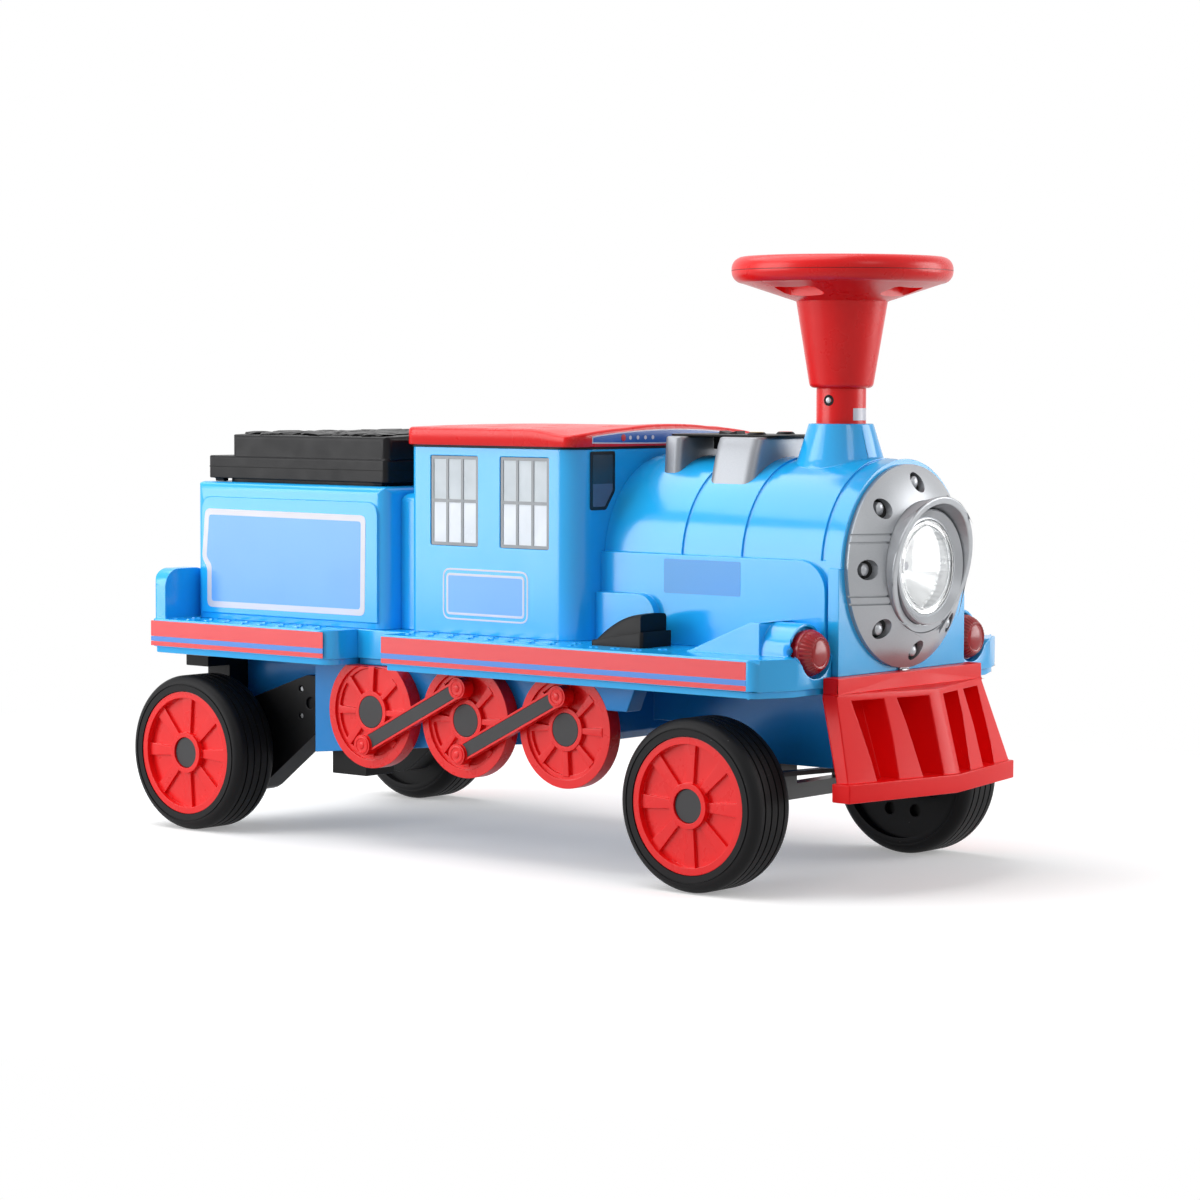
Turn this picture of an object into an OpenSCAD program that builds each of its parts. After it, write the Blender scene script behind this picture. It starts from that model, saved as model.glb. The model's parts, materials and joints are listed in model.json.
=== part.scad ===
// Ride-on train: a moulded tank engine with a coal tender, steered by a wheel on its chimney.
// X points forward, Y to the train's left, Z up. The origin is on the ground at mid length and mid width.

/* [Body lengths] */
// Length of the tender
tender_l = 263; // [235:1:300]
// Length of the link between tender and cab
link_l = 21; // [15:1:40]
// Length of the cab
cab_l = 206; // [185:1:240]
// Length of the boiler from the cab to the smokebox front
boiler_l = 268.6; // [255:0.1:300]
// Reach of the cowcatcher ahead of the smokebox front
nose_l = 60.4; // [54:0.1:75]

/* [Body widths] */
// Width over the running boards and the tyres
board_w = 380; // [372:1:420]
// Width of the tender
tender_w = 300; // [285:1:316]
// Width of the link box
link_w = 256; // [200:1:268]
// Width of the cab
cab_w = 274; // [262:1:290]
// Diameter of the boiler barrel
boiler_d = 192; // [180:1:196]
// Width of the side tanks
tank_w = 202; // [198:1:206]
// Width of the step beside the boiler
step_w = 218; // [210:1:219]
// Width of the apron under the smokebox
apron_w = 198; // [194:1:204]

/* [Body heights] */
// Height of the deck above the ground
deck_z = 209; // [204:1:230]
// Height of the deck's skirt
skirt_h = 34; // [24:1:38]
// Height of the tender above the deck
tender_h = 137; // [120:1:150]
// Height of the cab above the deck
cab_h = 176; // [168:1:190]
// Height of the boiler's axis above the deck
boiler_axis_h = 74.5; // [70:0.5:80]
// Height of the side tanks above the deck
tank_h = 82; // [76:1:86]
// Height of the chimney's mouth above the boiler's axis
chimney_h = 126.5; // [118:0.5:140]
// Thickness of the moulded walls
wall = 4; // [3:0.5:5]

/* [Deck] */
// Length of the rear deck behind the tender
deck_tail = 22; // [16:1:30]
// Length of the gap between the rear and front running boards
notch_l = 66; // [50:1:90]
// Depth of that gap from the edge of the boards
notch_in = 35; // [20:1:38]
// Height of the inset lip under the stripes
lip_h = 6; // [4:0.5:9]
// Inset of that lip
lip_in = 3; // [1.5:0.5:3]
// Corner radius at the front of the rear board
board_r = 22; // [14:1:32]
// Corner radius at the back of the rear board
tail_r = 8; // [7.5:0.5:20]
// Height of the corner walls behind the tender
corner_wall_h = 50; // [35:1:70]

/* [Roof and lid] */
// Thickness of the roof at its edges
roof_edge = 17; // [12:1:22]
// Rise of the roof's crown
roof_crown = 5; // [2:0.5:6]
// Overhang of the roof past the cab's sides
roof_over = 4; // [3:0.5:8]
// Overhang of the roof past the cab's back
roof_rear_over = 5; // [2:0.5:10]
// Overhang of the roof past the cab's front
roof_front_over = 23; // [14:1:30]
// Height of the lid's lower tier
lid_low_h = 22.5; // [18:0.5:30]
// Height of the lid's upper tier
lid_up_h = 21; // [12:1:28]
// Step at the back of the lid's upper tier
lid_step = 32; // [15:1:60]
// Gap between the tender's rim and the lid
lid_gap = 3.5; // [3:0.5:6]

/* [Nose] */
// Diameter of the smokebox door
door_d = 182; // [172:1:186]
// Diameter of the lamp hood
hood_d = 118; // [112:1:122]
// Width of the lamp hood's rim
hood_t = 7; // [5:0.5:9]
// Radius of the circle of door bolts
bolt_circle_r = 75; // [73:0.5:77]
// Half width of the cowcatcher's top
catcher_top_hw = 114; // [108:1:120]
// Half width of the cowcatcher's foot
catcher_foot_hw = 130; // [122:1:136]
// Depth of the cowcatcher's prow
prow = 25; // [15:1:30]
// Height of the cowcatcher's foot above the ground
catcher_z = 84; // [78:1:92]
// Diameter of the buffer lamps
buffer_d = 41; // [34:1:44]
// Distance of a buffer lamp from the side of the body
buffer_out = 21; // [20:0.5:27]

/* [Road wheels] */
// Diameter of the road wheels
wheel_d = 154; // [148:1:160]
// Width of a tyre
tyre_w = 56; // [52:1:58]
// Diameter of a wheel centre
hub_d = 122; // [112:1:126]
// Diameter of a hub cap
cap_d = 30; // [26:1:34]
// Number of spokes in every wheel
spokes = 8; // [6:1:10]
// Diameter of the axles
axle_d = 12; // [10:0.5:14]
// Distance of the front axle behind the smokebox front
front_axle_back = 96.6; // [94:0.1:104]
// Distance of the rear axle ahead of the tender's back
rear_axle_in = 26; // [14:1:30]

/* [Driving wheels] */
// Diameter of the driving wheels
driver_d = 108; // [100:1:112]
// Thickness of a driving wheel
driver_t = 15; // [12:1:18]
// Distance between driving wheels
driver_pitch = 122; // [118:0.5:126]
// Radius of the crank pins
crank_r = 31; // [28:0.5:34]
// Width of a coupling rod
rod_w = 17; // [13:1:19]

/* [Steering] */
// Diameter of the steering wheel
steer_d = 200; // [180:1:230]
// Height of the steering wheel's rim
rim_h = 24; // [20:1:28]
// Height of the cone under the steering wheel
boss_h = 79; // [65:1:95]
// Height of the steering column over the chimney
column_h = 32; // [20:1:45]
// Diameter of the steering column
column_d = 45; // [40:0.5:47]
// Diameter of the steering shaft
shaft_d = 16; // [12:1:18]
// Length of the steering arms
arm_r = 34; // [30:1:38]
// Distance of a kingpin from the tyres' outer faces
kingpin_in = 82; // [80:1:86]

/* [Controls] */
// Length of the foot pedal
pedal_l = 60; // [50:1:60]
// Width of the foot pedal
pedal_w = 44; // [36:1:46]
// Diameter of the push buttons
button_d = 18; // [14:1:20]
// Travel of the push buttons
button_travel = 2; // [1:0.5:3]

/* [Fits] */
// Radial gap of a running fit
run_fit = 0.05; // [0.02:0.01:0.1]
// Gap between parts that only seat on each other
seat_gap = 0.3; // [0.2:0.05:0.5]

/* [Hidden] */
$fn = 96;

// Stations along the train
rear_reach = wheel_d / 2 - rear_axle_in;
overall_l = rear_reach + tender_l + link_l + cab_l + boiler_l + nose_l;
tail_x = -overall_l / 2 + rear_reach;
tender_front_x = tail_x + tender_l;
cab_rear_x = tender_front_x + link_l;
cab_front_x = cab_rear_x + cab_l;
front_x = cab_front_x + boiler_l;
nose_x = front_x + nose_l;
front_axle_x = front_x - front_axle_back;
rear_axle_x = tail_x + rear_axle_in;

// Levels
slab_t = 4;
slab_z = deck_z - slab_t;
skirt_z = deck_z - skirt_h;
tender_z = deck_z + tender_h;
cab_z = deck_z + cab_h;
seal_t = 2;
roof_z = cab_z + seal_t;
boiler_z = deck_z + boiler_axis_h;
boiler_r = boiler_d / 2;
chimney_z = boiler_z + chimney_h;
axle_z = wheel_d / 2;

// Half widths
board_hw = board_w / 2;
tender_hw = tender_w / 2;
link_hw = link_w / 2;
cab_hw = cab_w / 2;
tank_hw = tank_w / 2;
body_side_hw = max(tank_hw, boiler_r);
step_hw = step_w / 2;
apron_hw = apron_w / 2;

// Deck plan
skirt_t = 3.5;
split_x = tender_front_x - 32;
board_x = split_x + notch_l;
tongue_hw = board_hw - notch_in;
apron_t = 12;
apron_z = deck_z - 19;
apron_back_x = front_x - apron_t - 0.5;
board_corner_x = front_x - 6.6;
board_side_x = board_corner_x - 18;
board_corner_hw = board_hw - 38;
corner_wall_t = 20;
corner_wall_in = 128 / 150 * tender_hw;

// Chassis plan
chassis_mid_hw = board_hw - 41;
chassis_rear_hw = board_hw - 95;
chassis_front_hw = board_hw - 106;
chassis_rear_x = rear_axle_x - 39;
chassis_drop_x = rear_axle_x + 81;
chassis_mid_x = tender_front_x - 95;
chassis_step_x = front_axle_x - 122;
chassis_front_x = apron_back_x - skirt_t - 0.5;
chassis_low_z = axle_z + 8;
chassis_high_z = axle_z + 44;
chassis_front_z = axle_z + 30;
chassis_arch_z = axle_z + 60;
chassis_rear_z = axle_z + 30;
chassis_fit = 0.5;

// Boiler
band_w = 5;
band_d = 2;
band_xs = [cab_front_x + 91, cab_front_x + 159, front_x - 21.6];
tank_front_x = front_x - 13.5;
tank_corner_r = 28;
step_l = 70;
step_h = 45;
step_corner_r = 20;
chimney_x = front_x - 69.9;
chimney_foot_r = 40;
chimney_mouth_r = 29.3;
chimney_bore_r = column_d / 2 + 0.9;
wedge_x = chimney_x - 58;
wedge_top_x = chimney_x + 12;
wedge_end_x = chimney_x + 22;
wedge_h = 29;
wedge_hw = 150;
housing_r = buffer_d / 2 + 2;
housing_back_x = wedge_end_x - 2;
housing_front_x = front_x - 22;
buffer_y = body_side_hw + buffer_out;
buffer_z = deck_z + 3;

// Lamp and door
door_rim = 4;
door_rise = 22;
hood_r = hood_d / 2;
hood_back_x = front_x + 10;
hood_tilt = 10;
hood_flare = 4.5;
hood_mid_x = front_x + 32;
lens_r = hood_r - hood_t - seat_gap;
lens_x = front_x + 20;
lamp_bore_r = hood_r - 0.5;
door_r = door_d / 2;
dome_drop = (pow(door_r, 2) + pow(door_rim, 2) - pow(hood_r, 2) - pow(door_rise, 2)) / (2 * (door_rise - door_rim));
dome_r = sqrt(pow(door_r, 2) + pow(door_rim + dome_drop, 2));
pocket_d = 6;
pocket_r = 9;
strap_z = 27;

// Lid
lid_rim_in = 10;
lid_x0 = tail_x + lid_rim_in;
lid_x1 = tender_front_x - 7.4;
lid_hw = tender_hw - 9;
lid_z = tender_z + lid_gap;
lid_mid_z = lid_z + lid_low_h;
lid_top_z = lid_mid_z + lid_up_h;
lid_crown = 2.5;
mouth_in = 18;
flange_gap = 2.5;
hinge_r = 4;
hinge_x = lid_x0 - hinge_r - 0.4;
hinge_z = tender_z + hinge_r + 0.5;
hinge_pin_r = 2;
hinge_y = tender_hw - 60;
knuckle_l = 12;

// Road wheels
wheel_y = board_hw - tyre_w / 2;
kingpin_y = board_hw - kingpin_in;
tyre_r = wheel_d / 2;
hub_r = hub_d / 2;
axle_r = axle_d / 2;
tyre_bore_r = hub_r + seat_gap;
web_t = 6;
web_z = -tyre_w / 2 + 8;
boss_r = axle_r + 8;
boss_top = 8;
nut_r = axle_r + 4;
nut_t = 6;

// Driving wheels
driver_z = skirt_z - 44;
driver_r = driver_d / 2;
driver_xs = [for (i = [-2:0]) chassis_step_x - 40 + i * driver_pitch];
driver_face_y = chassis_mid_hw + driver_t;
driver_cut_z = skirt_z - 0.5;
rod_t = 8;
rod_y = driver_face_y + 1;
rod_boss_r = rod_w / 2 + 1.5;
rod_boss_t = 13;

// Steering
steer_top_z = chimney_z + column_h + boss_h + 39;
steer_r = steer_d / 2;
column_z = chimney_z + column_h;
boss_z = column_z + boss_h;
rim_r = rim_h * 0.45;
column_foot_z = chimney_z - 24;
shaft_r = shaft_d / 2;
arm_t = 5;
arm_z = axle_z + 16;
arm_w = 14;
pin_r = 4;
tie_z = arm_z + arm_t + 0.4;
tie_t = 4;
tie_w = 13;
kingpin_r = 5;
beam_boss_r = 10;
fork_low_z = axle_z - 21;
fork_t = 5;
fork_y = kingpin_y + 10;
fork_web_t = 6;
shaft_foot_z = arm_z;

// Rear drive
gearbox_y = chassis_rear_hw;
gearbox_t = 30;
motor_x = rear_axle_x + 112;
motor_z = axle_z + 52;
motor_r = 18;
motor_l = 50;

// Pedal
pedal_x = cab_front_x + 33;
pedal_far_y = max(step_hw, boiler_r) + 2;
pedal_wall = 2.5;
pedal_base_h = 15;
pedal_rear_h = 12;
pedal_front_h = 31;
pedal_play = 2;
pedal_pin_r = 2;
pedal_pin_x = pedal_x + 7;
pedal_pin_z = deck_z + 7;

// Console
pod_top_z = boiler_z + boiler_r + 17.5;
pod_base_hws = [56, 68];
pod_top_hw = 51;
console_l = chimney_x - chimney_foot_r - 13.7 - cab_front_x;
pod_xs = [[cab_front_x + 0.235 * console_l, 0.138 * console_l], [cab_front_x + 0.655 * console_l, 0.345 * console_l]];
panel_t = 2;
panel_x0 = cab_front_x + 0.2 * console_l;
panel_x1 = cab_front_x + console_l + 8;
panel_hw = 39;
button_x = pod_xs[1][0] + pod_xs[1][1] / 2;
button_y = 22;
button_r = button_d / 2;
button_rise = 2.4;
button_flange = 1.5;
button_well = 9;
rocker_x = (pod_xs[0][0] + pod_xs[0][1] + pod_xs[1][0]) / 2;
rocker_l = 0.15 * console_l;
rocker_w = 14;
rocker_play = 1;
rocker_pin_r = 1.5;
rocker_pin_z = pod_top_z - 2;
rocker_box_h = 12;

// Windows
window_w = 60;
window_h = 85;
window_low = 83;
window_d = 2.5;
window_xs = [cab_rear_x + 56, cab_rear_x + 143.5];
mullion = 3;
pane_in = 1;
front_pane_y = 99;
front_pane_w = 35;
front_pane_h = 54;
front_pane_z = deck_z + 147;

// Colours of the mouldings
body_blue = "#45aef2";
trim_red = "#e02b30";
coal_black = "#252526";
silver = "#9a9ca0";
cap_grey = "#3f4042";
steel = "#b9bcc0";

// A 2D outline drawn in Y and Z, extruded along X from x0
module along_x(x0, l) {
    translate([x0, 0, 0])
        rotate([90, 0, 90])
            linear_extrude(l)
                children();
}

// A 2D outline drawn in X and Z, extruded along Y from y0
module along_y(y0, l) {
    translate([0, y0 + l, 0])
        rotate([90, 0, 0])
            linear_extrude(l)
                children();
}

// A 2D outline drawn in X and Y, extruded up from z0
module along_z(z0, l) {
    translate([0, 0, z0])
        linear_extrude(l)
            children();
}

// Both sides of the train: the child is drawn for the right side
module both_sides() {
    children();
    mirror([0, 1, 0])
        children();
}

// Turns a part drawn with its axis up so that the axis points out of one side, -1 right or 1 left
module outward(side) {
    rotate([-90 * side, 0, 0])
        children();
}

// A rectangle with one radius at the corners of low x and another at those of high x
module round_plan(x0, x1, hw, r0, r1) {
    translate([x0 + r0, -hw])
        square([x1 - x0 - r0 - r1, 2 * hw]);
    translate([x0, -hw + r0])
        square([r0 + 1, 2 * (hw - r0)]);
    translate([x1 - r1 - 1, -hw + r1])
        square([r1 + 1, 2 * (hw - r1)]);
    for (s = [-1, 1]) {
        translate([x0 + r0, s * (hw - r0)])
            circle(r0);
        translate([x1 - r1, s * (hw - r1)])
            circle(r1);
    }
}

// A rectangle from low corner to high corner with its two upper corners rounded
module arch_rect(x0, x1, y0, y1, r) {
    translate([x0, y0])
        square([x1 - x0, y1 - y0 - r]);
    translate([x0 + r, y0])
        square([x1 - x0 - 2 * r, y1 - y0]);
    for (x = [x0 + r, x1 - r])
        translate([x, y1 - r])
            circle(r);
}

// A rectangle with all four corners rounded
module round_rect(x0, x1, y0, y1, r) {
    translate([x0, y0 + r])
        square([x1 - x0, y1 - y0 - 2 * r]);
    translate([x0 + r, y0])
        square([x1 - x0 - 2 * r, y1 - y0]);
    for (x = [x0 + r, x1 - r])
        for (y = [y0 + r, y1 - r])
            translate([x, y])
                circle(r);
}

// A moulded box: rounded upright corners and rounded top edges
module soft_box(x0, x1, hw, z0, z1, r0, r1, top_r) {
    intersection() {
        along_z(z0, z1 - z0)
            round_plan(x0, x1, hw, r0, r1);
        along_y(-hw - 1, 2 * hw + 2)
            arch_rect(x0, x1, z0, z1, top_r);
        along_x(x0 - 1, x1 - x0 + 2)
            arch_rect(-hw, hw, z0, z1, top_r);
    }
}

// A closed outline from its right-hand points, mirrored to the left
function mirrored(pts) = concat(pts, [for (i = [len(pts) - 1:-1:0]) [pts[i][0], -pts[i][1]]]);

// Points of a shallow arch over a half width, from right to left
function arch(hw, z, rise) = [for (i = [0:24]) let (t = i / 12 - 1) [hw * t, z + rise * (1 - t * t)]];

// Plan of the lower chassis, grown by d
module chassis_plan(d) {
    polygon(mirrored([
        [chassis_rear_x - d, -chassis_rear_hw - d],
        [chassis_mid_x - d, -chassis_rear_hw - d],
        [chassis_mid_x - d, -chassis_mid_hw - d],
        [chassis_step_x + d, -chassis_mid_hw - d],
        [chassis_step_x + d, -chassis_front_hw - d],
        [chassis_front_x + d, -chassis_front_hw - d]]));
}

// Plan of the front deck, shrunk by d; a cut runs out past the back of the tongue
module front_deck_plan(d, past = 0) {
    polygon(mirrored([
        [split_x - past, -tongue_hw + d],
        [board_x + d, -tongue_hw + d],
        [board_x + d, -board_hw + d],
        [board_side_x - d / 2, -board_hw + d],
        [board_corner_x - d, -board_corner_hw + d / 2],
        [board_corner_x - d, -apron_hw - 0.5 - d],
        [apron_back_x - d, -apron_hw - 0.5 - d]]));
}

// Plan of the rear deck, shrunk by d
module rear_deck_plan(d) {
    round_plan(tail_x - deck_tail + d, split_x - d, board_hw - d, tail_r - d, board_r - d);
}

module front_deck() {
    color(body_blue)
        difference() {
            union() {
                along_z(skirt_z + lip_h, skirt_h - lip_h)
                    front_deck_plan(0);
                along_z(skirt_z, lip_h + 1)
                    front_deck_plan(lip_in);
                both_sides()
                    splasher();
            }
            along_z(skirt_z - 1, skirt_h - slab_t + 1)
                front_deck_plan(skirt_t + lip_in, 1);
            along_z(skirt_z - 1, skirt_h - slab_t + 1)
                chassis_plan(chassis_fit);
            translate([chimney_x, 0, slab_z - 1])
                cylinder(r = shaft_r + 6, h = slab_t + 2);
            both_sides()
                translate([housing_front_x, -buffer_y, buffer_z])
                    rotate([0, 90, 0])
                        cylinder(r = housing_r, h = 40);
            both_sides()
                pedal_well();
        }
}

// Wedge on the running board that runs into the round buffer housing
module splasher() {
    along_y(-wedge_hw, wedge_hw - body_side_hw)
        polygon([
            [wedge_x, deck_z - 1],
            [wedge_x, deck_z + 0.5],
            [wedge_top_x, deck_z + wedge_h],
            [wedge_end_x, deck_z + wedge_h],
            [wedge_end_x, deck_z - 1]]);
    intersection() {
        translate([housing_back_x - 20, -buffer_y, buffer_z])
            rotate([0, 90, 0])
                cylinder(r = housing_r + 3, h = housing_front_x - housing_back_x + 30);
        translate([housing_back_x, -buffer_y - 40, deck_z - 1])
            cube([housing_front_x - housing_back_x + 4, buffer_y + 40 - body_side_hw, 60]);
    }
}

// Opening in the deck under the pedal for its lead and switch
module pedal_well() {
    translate([pedal_x + pedal_l / 2, -(pedal_far_y + pedal_w / 2), slab_z - 1])
        cylinder(r = 6, h = slab_t + 2);
}

module rear_deck() {
    color(body_blue)
        difference() {
            union() {
                along_z(skirt_z + lip_h, skirt_h - lip_h)
                    rear_deck_plan(0);
                along_z(skirt_z, lip_h + 1)
                    rear_deck_plan(lip_in);
                both_sides()
                    corner_wall();
            }
            along_z(skirt_z - 1, skirt_h - slab_t + 1)
                rear_deck_plan(skirt_t + lip_in);
            along_z(skirt_z - 1, skirt_h - slab_t + 1)
                chassis_plan(chassis_fit);
        }
}

// Upright panel on the rear corner of the deck, behind the tender
module corner_wall() {
    intersection() {
        along_x(tail_x - deck_tail, corner_wall_t)
            arch_rect(-board_hw + 2, -corner_wall_in, deck_z - 1, deck_z + corner_wall_h, 18);
        along_z(deck_z - 1, corner_wall_h + 2)
            rear_deck_plan(2);
    }
}

module lower_chassis() {
    color(body_blue)
        difference() {
            union() {
                chassis_tub(0);
                both_sides()
                    fascia();
            }
            chassis_tub(wall);
            translate([chimney_x, 0, chassis_front_z - 1])
                cylinder(r = shaft_r + 4, h = wall + 2);
            both_sides()
                translate([motor_x, -chassis_rear_hw - 1, motor_z])
                    rotate([-90, 0, 0])
                        cylinder(r = motor_r + seat_gap, h = wall + 2);
        }
}

// Bracket under the running board that ends at the curve of the last driving wheel
module fascia() {
    along_y(-chassis_mid_hw - 16, 16 + wall)
        difference() {
            polygon([
                [chassis_step_x - 14, skirt_z - 0.2],
                [chassis_step_x - 10, skirt_z - 23],
                [chassis_step_x + 34, skirt_z - 23],
                [chassis_step_x + 44, skirt_z - 0.2]]);
            translate([driver_xs[2], driver_z])
                circle(driver_r + 0.6);
        }
}

// Solid tub of the chassis, shrunk by d and then open at the top
module chassis_tub(d) {
    top = slab_z + (d > 0 ? 1 : 0);
    along_y(-chassis_rear_hw + d, 2 * (chassis_rear_hw - d))
        polygon([
            [chassis_rear_x + d, top],
            [chassis_rear_x + d, chassis_rear_z + d],
            [chassis_drop_x + d, chassis_rear_z + d],
            [chassis_mid_x, chassis_low_z + d],
            [chassis_mid_x + 30, chassis_low_z + d + 3],
            [chassis_mid_x + 30, top]]);
    along_y(-chassis_mid_hw + d, 2 * (chassis_mid_hw - d))
        polygon([
            [chassis_mid_x + d, top],
            [chassis_mid_x + d, chassis_low_z + d],
            [chassis_step_x - d - 10, chassis_high_z + d],
            [chassis_step_x - d, chassis_high_z + d + 8],
            [chassis_step_x - d, top]]);
    along_y(-chassis_front_hw + d, 2 * (chassis_front_hw - d))
        polygon([
            [chassis_step_x - 30, top],
            [chassis_step_x - 30, chassis_arch_z + d],
            [front_axle_x - 48, chassis_arch_z + d],
            [front_axle_x - 22, chassis_front_z + d],
            [chassis_front_x - d, chassis_front_z + d],
            [chassis_front_x - d, top]]);
}

module tender_shell() {
    panel_t = 1.5;
    color(body_blue)
        difference() {
            union() {
                soft_box(tail_x, tender_front_x, tender_hw, deck_z, tender_z, 14, 14, 9);
                both_sides()
                    along_y(-tender_hw - panel_t, panel_t + 1)
                        arch_rect(tail_x + 12, tender_front_x - 9, deck_z + 6, tender_z - 15, 12);
                both_sides()
                    translate([hinge_x, -hinge_y, hinge_z])
                        hinge_ear();
            }
            along_z(deck_z - 1, tender_h - wall + 1)
                round_plan(tail_x + wall, tender_front_x - wall, tender_hw - wall, 10, 10);
            along_z(deck_z, tender_h + 1)
                round_plan(tail_x + mouth_in, tender_front_x - mouth_in, tender_hw - mouth_in, 8, 8);
            both_sides()
                translate([hinge_x, -hinge_y - knuckle_l / 2 - 1, hinge_z])
                    rotate([-90, 0, 0])
                        cylinder(r = hinge_pin_r, h = knuckle_l + 2);
        }
}

// Fixed hinge barrel with its foot on the tender's rim, centred on the hinge axis
module hinge_ear() {
    translate([0, -knuckle_l / 2, 0])
        rotate([-90, 0, 0])
            cylinder(r = hinge_r, h = knuckle_l);
    translate([-hinge_r, -knuckle_l / 2, tender_z - hinge_z - 1])
        cube([hinge_r, knuckle_l, hinge_z - tender_z + 1]);
}

module lid_hinge_pins() {
    color(steel)
        both_sides()
            translate([hinge_x, -hinge_y - knuckle_l / 2, hinge_z])
                rotate([-90, 0, 0])
                    cylinder(r = hinge_pin_r, h = 2 * knuckle_l + seat_gap);
}

module tender_lid() {
    flange_t = 3;
    peg_h = lid_gap - seat_gap;
    color(coal_black)
        difference() {
            union() {
                soft_box(lid_x0, lid_x1, lid_hw, lid_z, lid_mid_z, 6, 6, 3);
                intersection() {
                    soft_box(lid_x0 + lid_step, lid_x1, lid_hw - 1.5, lid_mid_z - 1, lid_top_z + lid_crown, 8, 8, 7);
                    lid_crown_dome();
                }
                lid_flange(flange_gap, lid_gap + 10);
                for (x = [lid_x0 + 8, lid_x1 - 20])
                    both_sides()
                        translate([x, -lid_hw + 3, lid_z - peg_h])
                            cube([12, 7, peg_h + 1]);
                both_sides()
                    lid_barrel();
            }
            lid_hollow(flange_t);
            both_sides()
                translate([hinge_x, -hinge_y + knuckle_l / 2, hinge_z])
                    rotate([-90, 0, 0])
                        cylinder(r = hinge_pin_r + run_fit, h = knuckle_l + 2);
        }
}

// Crown of the lid: a broad arch along the train
module lid_crown_dome() {
    along_x(lid_x0 - 1, lid_x1 - lid_x0 + 2)
        polygon(concat(arch(lid_hw, lid_top_z, lid_crown), [[lid_hw, lid_z], [-lid_hw, lid_z]]));
}

// Skirt of the lid that drops into the tender's mouth
module lid_flange(gap, drop) {
    in = mouth_in + gap;
    along_z(lid_z - drop, drop + 1)
        round_plan(tail_x + in + 9, tender_front_x - in, tender_hw - in, 6, 6);
}

// Hollow under the lid, open at the bottom
module lid_hollow(t) {
    in = mouth_in + flange_gap + t;
    along_z(lid_z - 30, 30 + lid_low_h - t)
        round_plan(tail_x + in + 9, tender_front_x - in, tender_hw - in, 4, 4);
    along_z(lid_z, lid_low_h + lid_up_h - t - 1)
        round_plan(lid_x0 + lid_step + 8, tender_front_x - in, tender_hw - in, 4, 4);
}

// Moving hinge barrel under the back edge of the lid
module lid_barrel() {
    y0 = -hinge_y + knuckle_l / 2 + seat_gap;
    translate([hinge_x, y0, hinge_z])
        rotate([-90, 0, 0])
            cylinder(r = hinge_r, h = knuckle_l);
    translate([hinge_x, y0, hinge_z])
        cube([lid_x0 - hinge_x + 6, knuckle_l, lid_z - hinge_z + 2]);
}

module link_box() {
    color(body_blue)
        difference() {
            soft_box(tender_front_x, cab_rear_x, link_hw, deck_z, tender_z - 6, 1, 1, 9);
            soft_box(tender_front_x - 2, cab_rear_x + 2, link_hw - wall, deck_z - 1, tender_z - 6 - wall, 1, 1, 6);
        }
}

module cab_shell() {
    color(body_blue)
        difference() {
            along_z(deck_z, cab_h)
                round_plan(cab_rear_x, cab_front_x, cab_hw, 8, 25);
            along_z(deck_z - 1, cab_h + 2)
                round_plan(cab_rear_x + wall + 2, cab_front_x - wall - 2, cab_hw - wall - 2, 6, 20);
            both_sides()
                for (x = window_xs)
                    along_y(-cab_hw - 1, window_d + 1)
                        window_hole(x, 0);
        }
}

// Outline of a side window, shrunk by d
module window_hole(x, d) {
    round_rect(x - window_w / 2 + d, x + window_w / 2 - d, deck_z + window_low + d,
        deck_z + window_low + window_h - d, 2);
}

module window_inserts() {
    pane_w = (window_w - 4 * mullion) / 3;
    pane_h = (window_h - 3 * mullion) / 2;
    color("#d5dde4") {
        both_sides()
            for (x = window_xs)
                difference() {
                    along_y(-cab_hw + pane_in, window_d - pane_in)
                        window_hole(x, 0.25);
                    for (i = [-1:1])
                        for (j = [0:1])
                            translate([
                                x + i * (pane_w + mullion) - pane_w / 2,
                                -cab_hw - 1,
                                deck_z + window_low + mullion + j * (pane_h + mullion)])
                                cube([pane_w, 1.5 + pane_in, pane_h]);
                }
        both_sides()
            along_x(cab_front_x, 0.8)
                translate([-front_pane_y, front_pane_z])
                    polygon([
                        [-front_pane_w / 2, -front_pane_h / 2],
                        [front_pane_w / 2 - 13, -front_pane_h / 2],
                        [front_pane_w / 2, -front_pane_h / 2 + 17],
                        [front_pane_w / 2, front_pane_h / 2],
                        [-front_pane_w / 2, front_pane_h / 2]]);
    }
}

module roof_seal() {
    color(coal_black)
        along_z(cab_z, seal_t)
            difference() {
                round_plan(cab_rear_x - 1, cab_front_x + 1, cab_hw + 1, 8, 25);
                round_plan(cab_rear_x + 10, cab_front_x - 10, cab_hw - 10, 6, 16);
            }
}

module roof_seat() {
    hw = cab_hw + roof_over;
    x0 = cab_rear_x - roof_rear_over;
    x1 = cab_front_x + roof_front_over;
    bow = 8;
    top = roof_z + roof_edge;
    color(trim_red)
        difference() {
            intersection() {
                along_z(roof_z, roof_edge + roof_crown) {
                    round_plan(x0, x1 - bow, hw, 10, 6);
                    polygon([for (p = arch(hw - 5, x1 - bow - 0.5, bow)) [p[1], p[0]]]);
                }
                along_x(x0 - 1, x1 - x0 + 2)
                    polygon(concat(arch(hw + 1, top, roof_crown), [[hw + 1, roof_z - 1], [-hw - 1, roof_z - 1]]));
            }
            along_z(roof_z - 1, roof_edge - wall + 1)
                round_plan(cab_rear_x + 14, cab_front_x - 14, cab_hw - 14, 6, 16);
        }
}

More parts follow.
